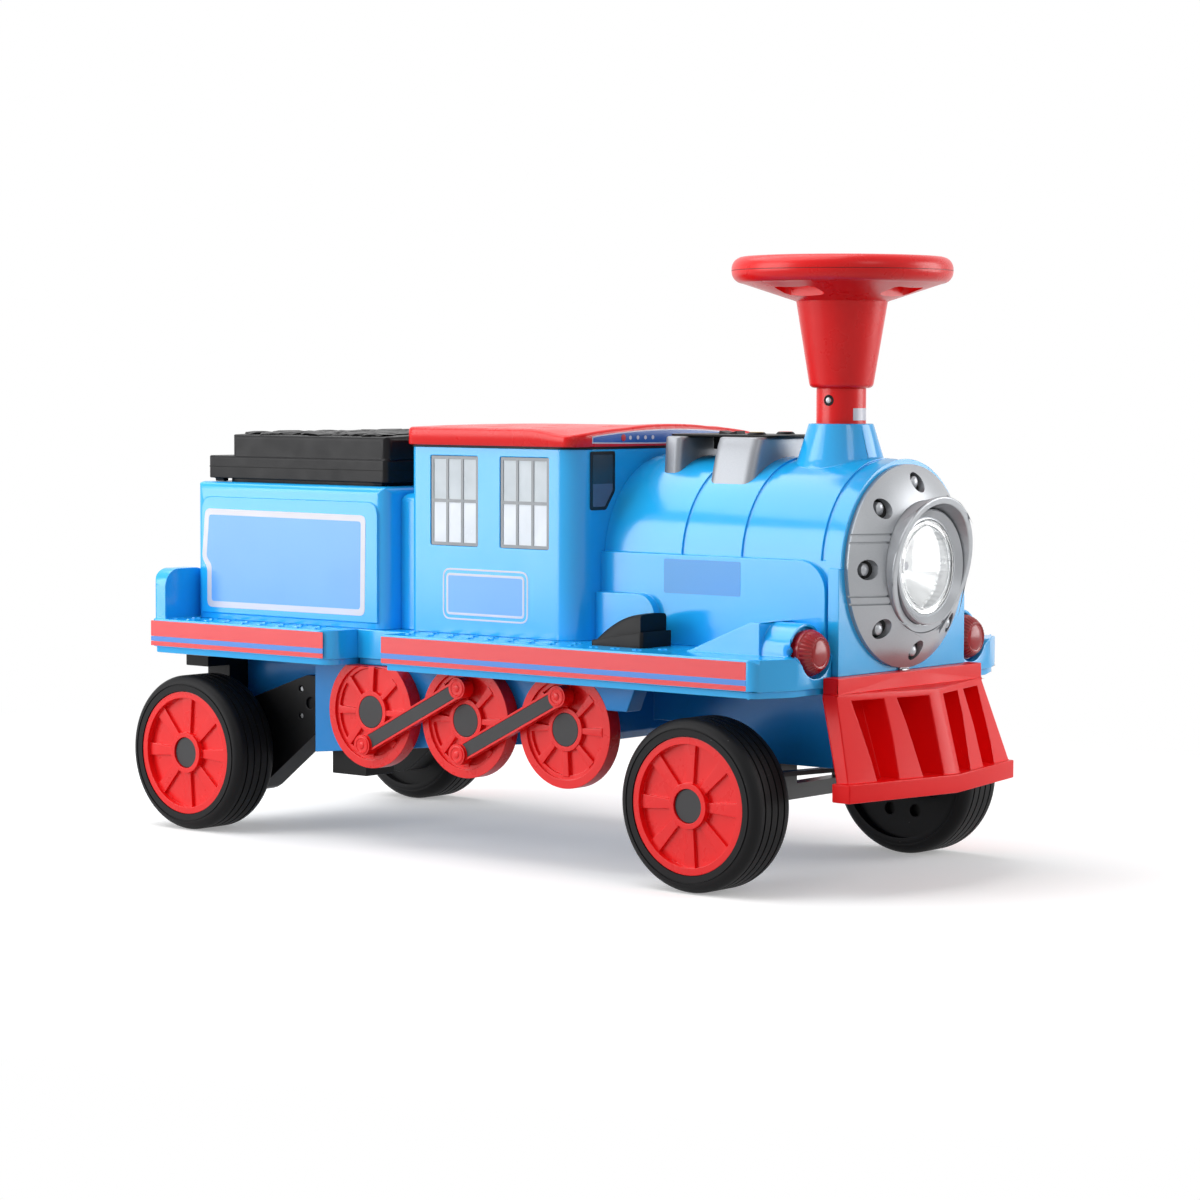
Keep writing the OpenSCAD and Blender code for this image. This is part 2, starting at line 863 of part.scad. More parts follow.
module boiler_shell() {
    color(body_blue)
        difference() {
            union() {
                along_x(cab_front_x, boiler_l - 0.01)
                    barrel_outline(boiler_r, deck_z);
                side_tank(tank_hw, tank_front_x, tank_h, tank_corner_r);
                side_tank(step_hw, cab_front_x + step_l, step_h, step_corner_r);
                along_x(front_x - apron_t, apron_t)
                    translate([-apron_hw, apron_z])
                        square([2 * apron_hw, boiler_z - apron_z + 1]);
                translate([chimney_x, 0, boiler_z])
                    chimney();
            }
            for (x = band_xs)
                along_x(x, band_w)
                    difference() {
                        translate([0, boiler_z])
                            circle(boiler_r + 2);
                        translate([0, boiler_z])
                            circle(boiler_r - band_d);
                        translate([-boiler_r - 5, boiler_z - boiler_r - 5])
                            square([2 * boiler_r + 10, boiler_r + 5 + tank_h - boiler_axis_h]);
                    }
            along_x(cab_front_x - 1, boiler_l - wall + 1)
                barrel_outline(boiler_r - wall, deck_z - 1);
            translate([chimney_x, 0, boiler_z])
                cylinder(r = chimney_bore_r, h = chimney_h + 1);
            translate([front_x - 20, 0, boiler_z])
                rotate([0, 90, 0])
                    cylinder(r = lamp_bore_r, h = 30);
        }
}

// Cross section of the barrel: a round top on straight sides down to a floor level
module barrel_outline(r, low) {
    intersection() {
        union() {
            translate([0, boiler_z])
                circle(r);
            translate([-r, low])
                square([2 * r, boiler_z - low]);
        }
        translate([-r - 1, low])
            square([2 * r + 2, boiler_z + r + 1 - low]);
    }
}

// Box along the boiler's foot with a rounded front top corner
module side_tank(hw, x1, h, r) {
    along_y(-hw, 2 * hw) {
        translate([cab_front_x, deck_z])
            square([x1 - r - cab_front_x, h]);
        translate([cab_front_x, deck_z])
            square([x1 - cab_front_x, h - r]);
        translate([x1 - r, deck_z + h - r])
            circle(r);
    }
}

// Chimney cone, drawn from the boiler's axis
module chimney() {
    foot = boiler_r - 8;
    rotate_extrude()
        polygon([
            [0, foot - 20],
            [chimney_foot_r + 2, foot - 20],
            [chimney_foot_r + 2, foot],
            [chimney_foot_r - 1, foot + 7],
            [chimney_mouth_r, chimney_h],
            [0, chimney_h]]);
}

// Turns a profile drawn around Z so that it looks forward from the smokebox front
module facing_forward() {
    translate([front_x, 0, boiler_z])
        rotate([0, 90, 0])
            children();
}

// Ball that the domed door is cut from, moved in by d
module door_ball(d) {
    translate([0, 0, -dome_drop])
        sphere(r = dome_r - d, $fn = 180);
}

module smokebox_door() {
    color(silver)
        facing_forward() {
            difference() {
                intersection() {
                    cylinder(r = door_r, h = door_rise + 10);
                    door_ball(0);
                }
                translate([0, 0, -1])
                    cylinder(r = hood_r + seat_gap, h = door_rise + 20);
                for (a = [0:45:315])
                    difference() {
                        bolt_spot(a)
                            cylinder(r = pocket_r, h = 60);
                        door_ball(pocket_d);
                    }
                for (s = [-1, 1])
                    for (d = [-3.5, 3.5])
                        difference() {
                            translate([s * strap_z + d - 1, -door_r - 1, 0])
                                cube([2, 2 * door_r + 2, 60]);
                            door_ball(1.8);
                        }
            }
            for (a = [0:45:315])
                intersection() {
                    bolt_spot(a)
                        cylinder(r = 5.5, h = 60);
                    bolt_spot(a)
                        translate([0, 0, bolt_seat() - 2])
                            sphere(r = 7.5);
                }
        }
}

// Height of a door bolt's seat over the smokebox front
function bolt_seat() = sqrt(pow(dome_r - pocket_d, 2) - pow(bolt_circle_r, 2)) - dome_drop;

// Place of one bolt on the door
module bolt_spot(a) {
    rotate(a)
        translate([bolt_circle_r, 0, 0])
            children();
}

module lamp_hood() {
    color(silver)
        intersection() {
            facing_forward()
                translate([0, 0, hood_back_x - front_x])
                    rotate_extrude()
                        polygon([
                            [hood_r - hood_t, 0],
                            [hood_r, 0],
                            [hood_r, 13],
                            [hood_r + hood_flare, 30],
                            [hood_r + hood_flare, 60],
                            [hood_r + hood_flare - hood_t, 60],
                            [hood_r + hood_flare - hood_t, 30],
                            [hood_r - hood_t, 14]]);
            translate([hood_mid_x, 0, boiler_z])
                rotate([0, hood_tilt, 0])
                    translate([-100, -100, -100])
                        cube([100, 200, 200]);
        }
}

module lamp_lens() {
    edge = 3;
    bulge = 9;
    ball_r = (pow(lens_r, 2) + pow(bulge, 2)) / (2 * bulge);
    color("#e8f0f4", 0.5)
        translate([lens_x, 0, boiler_z])
            rotate([0, 90, 0])
                rotate_extrude()
                    difference() {
                        union() {
                            square([lens_r, edge]);
                            intersection() {
                                translate([0, edge + bulge - ball_r])
                                    circle(ball_r);
                                translate([0, edge - 0.5])
                                    square([lens_r, bulge + 1]);
                            }
                        }
                        translate([0, edge + bulge - ball_r - 3])
                            intersection() {
                                circle(ball_r);
                                translate([0, ball_r - bulge])
                                    square([lens_r - 4, bulge]);
                            }
                    }
}

module lamp_reflector() {
    depth = 30;
    color("#d9dcdf")
        translate([lens_x - depth, 0, boiler_z])
            rotate([0, 90, 0])
                difference() {
                    cylinder(r1 = 20, r2 = lens_r, h = depth);
                    translate([0, 0, 3])
                        cylinder(r1 = 17, r2 = lens_r - 2, h = depth);
                    translate([0, 0, -1])
                        cylinder(r = 8 + seat_gap, h = depth);
                }
}

module lamp_led() {
    color("#f4f1d8")
        translate([lens_x - 36, 0, boiler_z])
            rotate([0, 90, 0]) {
                cylinder(r = 17, h = 6);
                cylinder(r = 8, h = 14);
                translate([0, 0, 14])
                    sphere(r = 6);
            }
}

module buffer_lamps() {
    ribs = 32;
    r = buffer_d / 2;
    color("#b01a20", 0.85)
        both_sides()
            translate([housing_front_x + seat_gap, -buffer_y, buffer_z])
                rotate([0, 90, 0]) {
                    difference() {
                        union() {
                            cylinder(r = r - 1.2, h = 14);
                            translate([0, 0, 4])
                                cylinder(r = r, h = 5);
                            translate([0, 0, 13])
                                cylinder(r1 = r - 1.2, r2 = r - 6, h = 7);
                        }
                        translate([0, 0, 18.5])
                            difference() {
                                cylinder(r = r - 7.5, h = 3);
                                cylinder(r = r - 9.5, h = 3);
                            }
                    }
                    for (i = [0:ribs - 1])
                        rotate(i * 360 / ribs)
                            translate([r - 3, -0.7, 8])
                                cube([2.2, 1.4, 5]);
                }
}

// Plan of a bar of the cowcatcher: straight back, prow in front
module prow_plan(x0, x1, hw, depth) {
    polygon([[x0, -hw], [x1, -hw], [x1 + depth, 0], [x1, hw], [x0, hw]]);
}

module cowcatcher() {
    bar_top = apron_z;
    bar_z = apron_z - 15;
    foot_top = catcher_z + 16.5;
    foot_x = nose_x - prow;
    top_x = front_x + 9;
    slat_top = [[0.1, 0.42], [0.55, 0.87]];
    slat_foot = [[0.1, 0.295], [0.525, 0.73]];
    back_t = 4;
    color(trim_red)
        difference() {
            union() {
                along_z(bar_z, bar_top - bar_z)
                    prow_plan(board_corner_x + seat_gap, top_x + 1, catcher_top_hw - 1, 2);
                hull() {
                    along_z(bar_z - 1, 2)
                        prow_plan(board_corner_x + seat_gap, top_x, catcher_top_hw, prow + 3);
                    along_z(foot_top - 1, 2)
                        prow_plan(foot_x - 16, foot_x - 4, catcher_foot_hw - 3, prow);
                }
                along_z(catcher_z, foot_top - catcher_z)
                    prow_plan(foot_x - 19, foot_x, catcher_foot_hw, prow);
            }
            for (s = [-1, 1])
                for (k = [0, 1])
                    hull() {
                        catcher_gap(bar_z - 5, s, slat_top[k], catcher_top_hw, board_corner_x + seat_gap + back_t);
                        catcher_gap(foot_top, s, slat_foot[k], catcher_foot_hw - 3, foot_x - 16 + back_t);
                    }
        }
}

// Thin slice of a gap between two slats, given as shares of the half width
module catcher_gap(z, s, share, hw, x0) {
    y0 = min(s * share[0] * hw, s * share[1] * hw);
    translate([x0, y0, z])
        cube([nose_x - x0 + 20, (share[1] - share[0]) * hw, 0.01]);
}

// Tyre moulding with its inner web, drawn with its axis up and the outer face on top
module tyre_shape() {
    half = tyre_w / 2;
    out_r = min(9, tyre_r - tyre_bore_r - 1);
    in_r = min(14, tyre_r - tyre_bore_r - 1);
    groove = 1.4;
    difference() {
        rotate_extrude() {
            difference() {
                union() {
                    translate([tyre_bore_r, -half])
                        square([tyre_r - tyre_bore_r - in_r, tyre_w]);
                    translate([tyre_bore_r, 0])
                        square([tyre_r - tyre_bore_r - out_r, half]);
                    translate([tyre_bore_r, -half + in_r])
                        square([tyre_r - tyre_bore_r, tyre_w - in_r - out_r]);
                    translate([tyre_r - out_r, half - out_r])
                        circle(out_r);
                    translate([tyre_r - in_r, -half + in_r])
                        circle(in_r);
                }
                translate([0, -half - 1])
                    square([tyre_bore_r, tyre_w + 2]);
                for (z = [-12, -3, 6, 15])
                    translate([tyre_r - groove, z - 1])
                        square([groove + 1, 2]);
                for (s = [-1, 1])
                    translate([(tyre_r + tyre_bore_r) / 2 - 2, s * half - 1])
                        square([1.6, 2]);
            }
            translate([axle_r + run_fit, web_z])
                square([tyre_bore_r - axle_r, web_t]);
            translate([axle_r + run_fit, -half + 1])
                square([boss_r - axle_r - run_fit, half - 1 + boss_top]);
        }
        for (i = [0:spokes - 1])
            rotate((i + 0.5) * 360 / spokes)
                translate([(tyre_bore_r + boss_r) / 2, 0, web_z - 1])
                    cylinder(r = 6, h = web_t + 2);
    }
}

// Spoked wheel centre, drawn like the tyre
module hub_shape() {
    half = tyre_w / 2;
    plate_z = half - 11.5;
    face_z = half - 1;
    ring_r = cap_d / 2 + 5.4;
    rotate_extrude() {
        translate([boss_r + 2, plate_z])
            square([hub_r - boss_r - 2, 4]);
        translate([hub_r - 6.5, plate_z])
            square([6.5, face_z - plate_z]);
        translate([cap_d / 2 + seat_gap, plate_z])
            square([ring_r - cap_d / 2 - seat_gap, face_z - plate_z]);
    }
    for (i = [0:spokes - 1])
        rotate(i * 360 / spokes)
            along_z(plate_z + 3, 4)
                polygon([
                    [ring_r - 1, -4],
                    [hub_r - 6, -6.5],
                    [hub_r - 6, 6.5],
                    [ring_r - 1, 4]]);
}

// Hub cap disc with a seat ring under it, drawn like the tyre
module cap_shape() {
    half = tyre_w / 2;
    translate([0, 0, half - 7])
        cylinder(r = cap_d / 2, h = 4);
    translate([0, 0, half - 13])
        difference() {
            cylinder(r = cap_d / 2, h = 7);
            translate([0, 0, -1])
                cylinder(r = cap_d / 2 - 2, h = 8);
        }
}

// Places a wheel part on an axle end, side -1 right or 1 left
module on_wheel(x, side) {
    translate([x, side * wheel_y, axle_z])
        outward(side)
            children();
}

module front_tyre_right() { color(coal_black) on_wheel(front_axle_x, -1) tyre_shape(); }
module front_hub_right() { color(trim_red) on_wheel(front_axle_x, -1) hub_shape(); }
module front_cap_right() { color(cap_grey) on_wheel(front_axle_x, -1) cap_shape(); }
module front_tyre_left() { color(coal_black) on_wheel(front_axle_x, 1) tyre_shape(); }
module front_hub_left() { color(trim_red) on_wheel(front_axle_x, 1) hub_shape(); }
module front_cap_left() { color(cap_grey) on_wheel(front_axle_x, 1) cap_shape(); }
module rear_tyre_right() { color(coal_black) on_wheel(rear_axle_x, -1) tyre_shape(); }
module rear_hub_right() { color(trim_red) on_wheel(rear_axle_x, -1) hub_shape(); }
module rear_cap_right() { color(cap_grey) on_wheel(rear_axle_x, -1) cap_shape(); }
module rear_tyre_left() { color(coal_black) on_wheel(rear_axle_x, 1) tyre_shape(); }
module rear_hub_left() { color(trim_red) on_wheel(rear_axle_x, 1) hub_shape(); }
module rear_cap_left() { color(cap_grey) on_wheel(rear_axle_x, 1) cap_shape(); }

// Nut on an axle end, drawn with the axle's axis up from the wheel's middle plane
module axle_nut() {
    translate([0, 0, boss_top + seat_gap])
        cylinder(r = nut_r, h = nut_t);
}

module rear_axle() {
    color(steel) {
        translate([rear_axle_x, -wheel_y - boss_top - 3, axle_z])
            rotate([-90, 0, 0])
                cylinder(r = axle_r, h = 2 * (wheel_y + boss_top + 3));
        for (side = [-1, 1])
            on_wheel(rear_axle_x, side)
                axle_nut();
    }
}

module front_axle_beam() {
    color(steel)
        difference() {
            union() {
                translate([front_axle_x - 8, -kingpin_y, axle_z - 7])
                    cube([16, 2 * kingpin_y, 14]);
                for (s = [-1, 1]) {
                    translate([front_axle_x, s * kingpin_y, fork_low_z + fork_t + seat_gap])
                        cylinder(r = beam_boss_r, h = arm_z - fork_low_z - fork_t - 2 * seat_gap);
                    translate([front_axle_x - 8, s * 50 - 12, axle_z])
                        cube([16, 24, chassis_front_z - axle_z]);
                }
            }
            for (s = [-1, 1])
                translate([front_axle_x, s * kingpin_y, 0])
                    cylinder(r = kingpin_r + run_fit, h = 2 * axle_z);
        }
}

// Steering knuckle with kingpin, stub axle and steering arm, side -1 right or 1 left
module knuckle(side) {
    far = fork_y + fork_web_t;
    translate([front_axle_x, side * kingpin_y, 0]) {
        for (z = [fork_low_z, arm_z])
            translate([-12, side > 0 ? -10 : kingpin_y - far, z])
                cube([24, far - kingpin_y + 10, fork_t]);
        translate([0, 0, fork_low_z - 2])
            cylinder(r = kingpin_r, h = arm_z + fork_t - fork_low_z + 3);
        translate([-14, side > 0 ? fork_y - kingpin_y : kingpin_y - far, fork_low_z])
            cube([28, fork_web_t, arm_z + fork_t - fork_low_z]);
        translate([0, -arm_w / 2, arm_z])
            cube([arm_r, arm_w, arm_t]);
        translate([arm_r, 0, arm_z])
            cylinder(r = arm_w / 2, h = arm_t);
        translate([arm_r, 0, arm_z])
            cylinder(r = pin_r, h = arm_t + tie_t + 0.8);
    }
    translate([front_axle_x, side * fork_y, axle_z])
        outward(side)
            cylinder(r = axle_r, h = wheel_y - fork_y + boss_top + 3);
    on_wheel(front_axle_x, side)
        axle_nut();
}

module knuckle_right() { color(steel) knuckle(-1); }
module knuckle_left() { color(steel) knuckle(1); }

module tie_rod() {
    pins = [
        [front_axle_x + arm_r, -kingpin_y],
        [chimney_x + arm_r, 0],
        [front_axle_x + arm_r, kingpin_y]];
    color(coal_black)
        along_z(tie_z, tie_t)
            difference() {
                union() {
                    for (p = pins)
                        translate(p)
                            circle(tie_w / 2);
                    for (s = [0, 1])
                        bar_plan(pins[s], pins[s + 1], tie_w - 2);
                }
                for (p = pins)
                    translate(p)
                        circle(pin_r + seat_gap);
            }
}

// Plan of a straight bar between two points
module bar_plan(a, b, w) {
    d = b - a;
    translate(a)
        rotate(atan2(d[1], d[0]))
            translate([0, -w / 2])
                square([norm(d), w]);
}

module steering_shaft() {
    color(steel)
        translate([chimney_x, 0, 0]) {
            translate([0, 0, shaft_foot_z])
                cylinder(r = shaft_r, h = boss_z - shaft_foot_z - 6);
            translate([0, -arm_w / 2, arm_z])
                cube([arm_r, arm_w, arm_t]);
            translate([0, 0, arm_z])
                cylinder(r = shaft_r + 4, h = arm_t);
            translate([arm_r, 0, arm_z])
                cylinder(r = arm_w / 2, h = arm_t);
            translate([arm_r, 0, arm_z])
                cylinder(r = pin_r, h = arm_t + tie_t + 0.8);
        }
}

module steering_bushes() {
    color("#e8e6df") {
        translate([chimney_x, 0, chassis_front_z])
            bush(shaft_r + 4, wall);
        translate([chimney_x, 0, chassis_front_z + wall])
            bush(shaft_r + 9, 3);
        translate([chimney_x, 0, slab_z])
            bush(shaft_r + 6, slab_t);
        translate([chimney_x, 0, deck_z])
            bush(shaft_r + 11, 3);
    }
}

// Plain bush around the steering shaft
module bush(r, h) {
    difference() {
        cylinder(r = r, h = h);
        translate([0, 0, -1])
            cylinder(r = shaft_r + run_fit, h = h + 2);
    }
}

module steering_column() {
    color(trim_red)
        translate([chimney_x, 0, column_foot_z])
            difference() {
                cylinder(r = column_d / 2, h = column_z - column_foot_z);
                translate([0, 0, -1])
                    cylinder(r = shaft_r, h = column_z - column_foot_z + 2);
            }
}

module steering_wheel() {
    pad_r = 50;
    pad_z = boss_z + 8;
    rim_low = steer_top_z - rim_h;
    boss_top_r = column_d / 2 + 19;
    dish_r = steer_r - 10;
    dish_t = 5;
    color(trim_red)
        translate([chimney_x, 0, 0]) {
            difference() {
                union() {
                    translate([0, 0, column_z])
                        cylinder(r1 = column_d / 2 + 6, r2 = boss_top_r, h = boss_h);
                    rotate_extrude()
                        polygon([
                            [boss_top_r - 3, boss_z - 1],
                            [boss_top_r, boss_z - 1],
                            [dish_r, rim_low],
                            [dish_r, rim_low + dish_t],
                            [boss_top_r - 3, boss_z + dish_t + 2]]);
                    translate([0, 0, boss_z - 1])
                        cylinder(r = pad_r - 8, h = steer_top_z - 6 - boss_z + 1);
                    translate([0, 0, pad_z - 1])
                        cylinder(r = pad_r, h = steer_top_z - 6 - pad_z + 1);
                    for (a = [45:90:315])
                        rotate(a)
                            along_y(-14, 28)
                                polygon([
                                    [pad_r - 6, pad_z],
                                    [dish_r, rim_low + dish_t - 1],
                                    [dish_r, pad_z + 16],
                                    [pad_r - 6, pad_z + 16]]);
                }
                for (a = [0:90:270])
                    rotate(a)
                        along_z(boss_z - 2, steer_top_z - boss_z)
                            round_rect(pad_r + 4, steer_r - 24, -22, 22, 6);
                translate([0, 0, column_z - 1])
                    cylinder(r = shaft_r, h = boss_h - 4);
                difference() {
                    translate([0, 0, column_z + 5])
                        cylinder(r1 = column_d / 2 + 2.5, r2 = column_d / 2 + 14, h = boss_h - 8);
                    cylinder(r = shaft_r + 4, h = boss_z);
                }
            }
            rotate_extrude()
                round_rect(steer_r - 24, steer_r, rim_low, steer_top_z, rim_r);
        }
}

// Side view of a gearbox: a drop-shaped case from the axle up to the motor
module gearbox_outline() {
    hull() {
        translate([rear_axle_x, axle_z])
            circle(r = 40, $fn = 32);
        translate([rear_axle_x + 24, axle_z - 8])
            circle(r = 34, $fn = 32);
        translate([motor_x, motor_z])
            circle(r = 28, $fn = 32);
    }
}

// Gear case of one rear wheel, drawn on the right
module gearbox() {
    ring = 19;
    difference() {
        union() {
            along_y(-gearbox_y - gearbox_t, gearbox_t)
                gearbox_outline();
            translate([rear_axle_x - 38, -gearbox_y - gearbox_t + 4, axle_z])
                cube([32, gearbox_t - 4, slab_z - axle_z]);
            translate([rear_axle_x - 38, -gearbox_y - gearbox_t - 26, tyre_r + axle_z + 6])
                cube([32, 40, slab_z - axle_z - tyre_r - 6]);
        }
        translate([rear_axle_x, -gearbox_y - gearbox_t - 1, axle_z])
            rotate([-90, 0, 0])
                cylinder(r = axle_r + run_fit, h = gearbox_t + 2);
        for (a = [45:90:315])
            translate([motor_x + ring * cos(a), -gearbox_y - gearbox_t - 1, motor_z + ring * sin(a)])
                rotate([-90, 0, 0])
                    cylinder(r = 3, h = 5);
        translate([motor_x, -gearbox_y - gearbox_t - 1, motor_z])
            rotate([-90, 0, 0])
                cylinder(r = 6, h = 4);
    }
}

module gearbox_right() { color(coal_black) gearbox(); }
module gearbox_left() { color(coal_black) mirror([0, 1, 0]) gearbox(); }

module drive_motors() {
    color(steel)
        both_sides()
            translate([motor_x, -gearbox_y, motor_z])
                rotate([-90, 0, 0]) {
                    cylinder(r = motor_r, h = motor_l);
                    cylinder(r = 5, h = motor_l + 5);
                }
}

module underside_block() {
    color(coal_black)
        difference() {
            translate([chassis_mid_x + 4, -chassis_mid_hw + 20, chassis_low_z - 22])
                cube([46, 40, 30]);
            translate([chassis_mid_x + 8, -chassis_mid_hw + 24, chassis_low_z - 23])
                cube([38, 32, 16]);
            chassis_tub(-0.01);
        }
}

// Driving wheel with its top cut flat under the deck, drawn on the right at x
module driving_wheel(x) {
    ring_r = 20;
    intersection() {
        translate([x, -driver_face_y, driver_z])
            rotate([-90, 0, 0]) {
                rotate_extrude() {
                    translate([0, 5])
                        square([driver_r, driver_t - 5]);
                    translate([driver_r - 8, 0])
                        square([8, driver_t]);
                    translate([driver_r - 12, 2.5])
                        square([6, driver_t - 2.5]);
                    translate([ring_r - 4.5, 0.8])
                        square([4.5, driver_t - 0.8]);
                }
                for (i = [0:spokes - 1])
                    rotate(i * 360 / spokes)
                        along_z(1.5, 4)
                            polygon([
                                [ring_r - 1, -2.5],
                                [driver_r - 11, -4],
                                [driver_r - 11, 4],
                                [ring_r - 1, 2.5]]);
            }
        translate([x - driver_d, -driver_face_y - 5, driver_z - driver_d])
            cube([2 * driver_d, driver_t + 10, driver_cut_z - driver_z + driver_d]);
    }
}

module driving_wheels_right() {
    color(trim_red)
        for (x = driver_xs)
            driving_wheel(x);
}

module driving_wheels_left() {
    color(trim_red)
        mirror([0, 1, 0])
            for (x = driver_xs)
                driving_wheel(x);
}

module driving_wheel_caps() {
    color(cap_grey)
        both_sides()
            for (x = driver_xs)
                translate([x, -driver_face_y + 1, driver_z])
                    rotate([-90, 0, 0])
                        cylinder(r = 15.3, h = 4);
}

// Side view of a rod between a lower pin and the upper pin of the next wheel
module rod_plan(i, w) {
    a = [driver_xs[i], driver_z - crank_r];
    b = [driver_xs[i + 1], driver_z + crank_r];
    bar_plan(a, b, w);
}

module coupling_rods() {
    color(trim_red)
        both_sides()
            for (i = [0, 1])
                difference() {
                    union() {
                        along_y(-rod_y - rod_t, rod_t)
                            rod_plan(i, rod_w);
                        for (p = [[driver_xs[i], -crank_r], [driver_xs[i + 1], crank_r]])
                            translate([p[0], -driver_face_y + 1.5 - rod_boss_t, driver_z + p[1]])
                                rotate([-90, 0, 0])
                                    cylinder(r = rod_boss_r, h = rod_boss_t);
                    }
                    along_y(-rod_y - rod_t - 1, 2)
                        rod_inlay_plan(i, rod_w - 4);
                }
}

// The inlay stops short of the pin bosses
module rod_inlay_plan(i, w) {
    difference() {
        rod_plan(i, w);
        for (p = [[driver_xs[i], -crank_r], [driver_xs[i + 1], crank_r]])
            translate([p[0], driver_z + p[1]])
                circle(rod_boss_r + 1);
    }
}

module rod_inlays() {
    color(cap_grey)
        both_sides()
            for (i = [0, 1])
                along_y(-rod_y - rod_t + 0.2, 0.8)
                    rod_inlay_plan(i, rod_w - 4.4);
}

// Open-topped frame that the pedal sinks into
module pedal_base() {
    y0 = -pedal_far_y - pedal_w;
    color(coal_black)
        difference() {
            translate([pedal_x, y0, deck_z])
                cube([pedal_l, pedal_w, pedal_base_h]);
            translate([pedal_x + pedal_wall, y0 + pedal_wall, deck_z + pedal_wall])
                cube([pedal_l - 2 * pedal_wall, pedal_w - 2 * pedal_wall, pedal_base_h]);
            translate([pedal_x - 1, y0 + pedal_wall, deck_z + pedal_rear_h - 2])
                cube([pedal_wall + 2, pedal_w - 2 * pedal_wall, pedal_base_h]);
            translate([pedal_pin_x, y0 - 1, pedal_pin_z])
                rotate([-90, 0, 0])
                    cylinder(r = pedal_pin_r + run_fit, h = pedal_w + 2);
        }
}

module pedal() {
    y0 = -pedal_far_y - pedal_w;
    side = pedal_wall + 0.8;
    x0 = pedal_x + pedal_wall + 1;
    x1 = pedal_x + pedal_l - pedal_wall - pedal_play;
    foot = 11;
    color(coal_black) {
        intersection() {
            along_y(y0 + side, pedal_w - 2 * side)
                polygon([
                    [x0, deck_z + pedal_wall + 1],
                    [pedal_pin_x + 4, deck_z + pedal_wall + 1],
                    [x1, deck_z + foot],
                    [x1, deck_z + pedal_front_h],
                    [x0 + 14, deck_z + pedal_rear_h + 7],
                    [x0, deck_z + pedal_rear_h]]);
            translate([0, y0 + pedal_w / 2, deck_z + pedal_front_h - 118])
                rotate([0, 90, 0])
                    cylinder(r = 120, h = pedal_x + 200);
        }
        translate([pedal_pin_x, y0 + 0.5, pedal_pin_z])
            rotate([-90, 0, 0])
                cylinder(r = pedal_pin_r, h = pedal_w - 1);
    }
}

// Cross section of a console pod: tapered sides with rounded shoulders
module pod_outline(base_hw) {
    top = pod_top_z;
    low = boiler_z + boiler_r - 40;
    polygon([
        [-base_hw, low],
        [base_hw, low],
        [base_hw - 6, low + 25],
        [pod_top_hw, top - 4],
        [pod_top_hw - 4, top],
        [-pod_top_hw + 4, top],
        [-pod_top_hw, top - 4],
        [-base_hw + 6, low + 25]]);
}

module console_pods() {
    color(silver)
        difference() {
            for (i = [0, 1])
                intersection() {
                    along_x(pod_xs[i][0], pod_xs[i][1])
                        pod_outline(pod_base_hws[i]);
                    along_z(boiler_z, pod_top_z - boiler_z + 1)
                        round_rect(pod_xs[i][0], pod_xs[i][0] + pod_xs[i][1], -pod_base_hws[i], pod_base_hws[i], 8);
                }
            translate([cab_front_x, 0, boiler_z])
                rotate([0, 90, 0])
                    cylinder(r = boiler_r + seat_gap, h = boiler_l);
            for (s = [-1, 1])
                translate([button_x, s * button_y, pod_top_z - button_well])
                    cylinder(r = button_r + button_flange + 1, h = button_well + 1);
        }
}

module control_panel() {
    box_l = rocker_l + 2 * rocker_play;
    box_w = rocker_w + 2 * rocker_play;
    color(coal_black)
        difference() {
            union() {
                along_z(pod_top_z, panel_t)
                    round_rect(panel_x0, panel_x1, -panel_hw, panel_hw, 9);
                translate([rocker_x - box_l / 2 - 2, -box_w / 2 - 2, pod_top_z - rocker_box_h])
                    cube([box_l + 4, box_w + 4, rocker_box_h + 1]);
            }
            translate([rocker_x - box_l / 2, -box_w / 2, pod_top_z - rocker_box_h + 2])
                cube([box_l, box_w, rocker_box_h + panel_t]);
            for (s = [-1, 1])
                translate([button_x, s * button_y, pod_top_z - 1])
                    cylinder(r = button_r + seat_gap, h = panel_t + 2);
            translate([rocker_x, -box_w / 2 - 1.5, rocker_pin_z])
                rotate([-90, 0, 0])
                    cylinder(r = rocker_pin_r + run_fit, h = box_w + 3);
        }
}

// Push button with its keeping flange under the panel
module push_button(side) {
    translate([button_x, side * button_y, pod_top_z - 3]) {
        cylinder(r = button_r, h = 3 + panel_t + button_rise - 2);
        translate([0, 0, 3 + panel_t + button_rise - 2])
            cylinder(r1 = button_r, r2 = button_r - 2, h = 2);
        cylinder(r = button_r + button_flange, h = 2.7);
        translate([0, 0, -3])
            cylinder(r = 3, h = 4);
    }
}

module horn_button() { color(trim_red) push_button(1); }
module music_button() { color("#e9c12d") push_button(-1); }

module direction_switch() {
    color("#303033")
        translate([rocker_x, 0, rocker_pin_z]) {
            along_y(-rocker_w / 2, rocker_w)
                polygon([
                    [-rocker_l / 2, 1],
                    [-rocker_l / 2 + 1, 7],
                    [0, 4.5],
                    [rocker_l / 2 - 1, 7],
                    [rocker_l / 2, 1],
                    [5, -5],
                    [-5, -5]]);
            translate([0, -rocker_w / 2 - rocker_play - 1, 0])
                rotate([-90, 0, 0])
                    cylinder(r = rocker_pin_r, h = rocker_w + 2 * rocker_play + 2);
        }
}

module battery() {
    color("#2b2b2e")
        translate([cab_rear_x + 58, -35, deck_z]) {
            cube([90, 70, 100]);
            for (x = [20, 70])
                translate([x, 12, 99])
                    cube([6, 8, 6]);
        }
}

module control_board() {
    color("#1f6b3a")
        translate([cab_front_x + 20, -40, deck_z]) {
            for (x = [5, 65])
                for (y = [5, 55])
                    translate([x, y, 0])
                        cylinder(r = 3, h = 7);
            translate([0, 0, 6])
                cube([70, 60, 2]);
        }
}

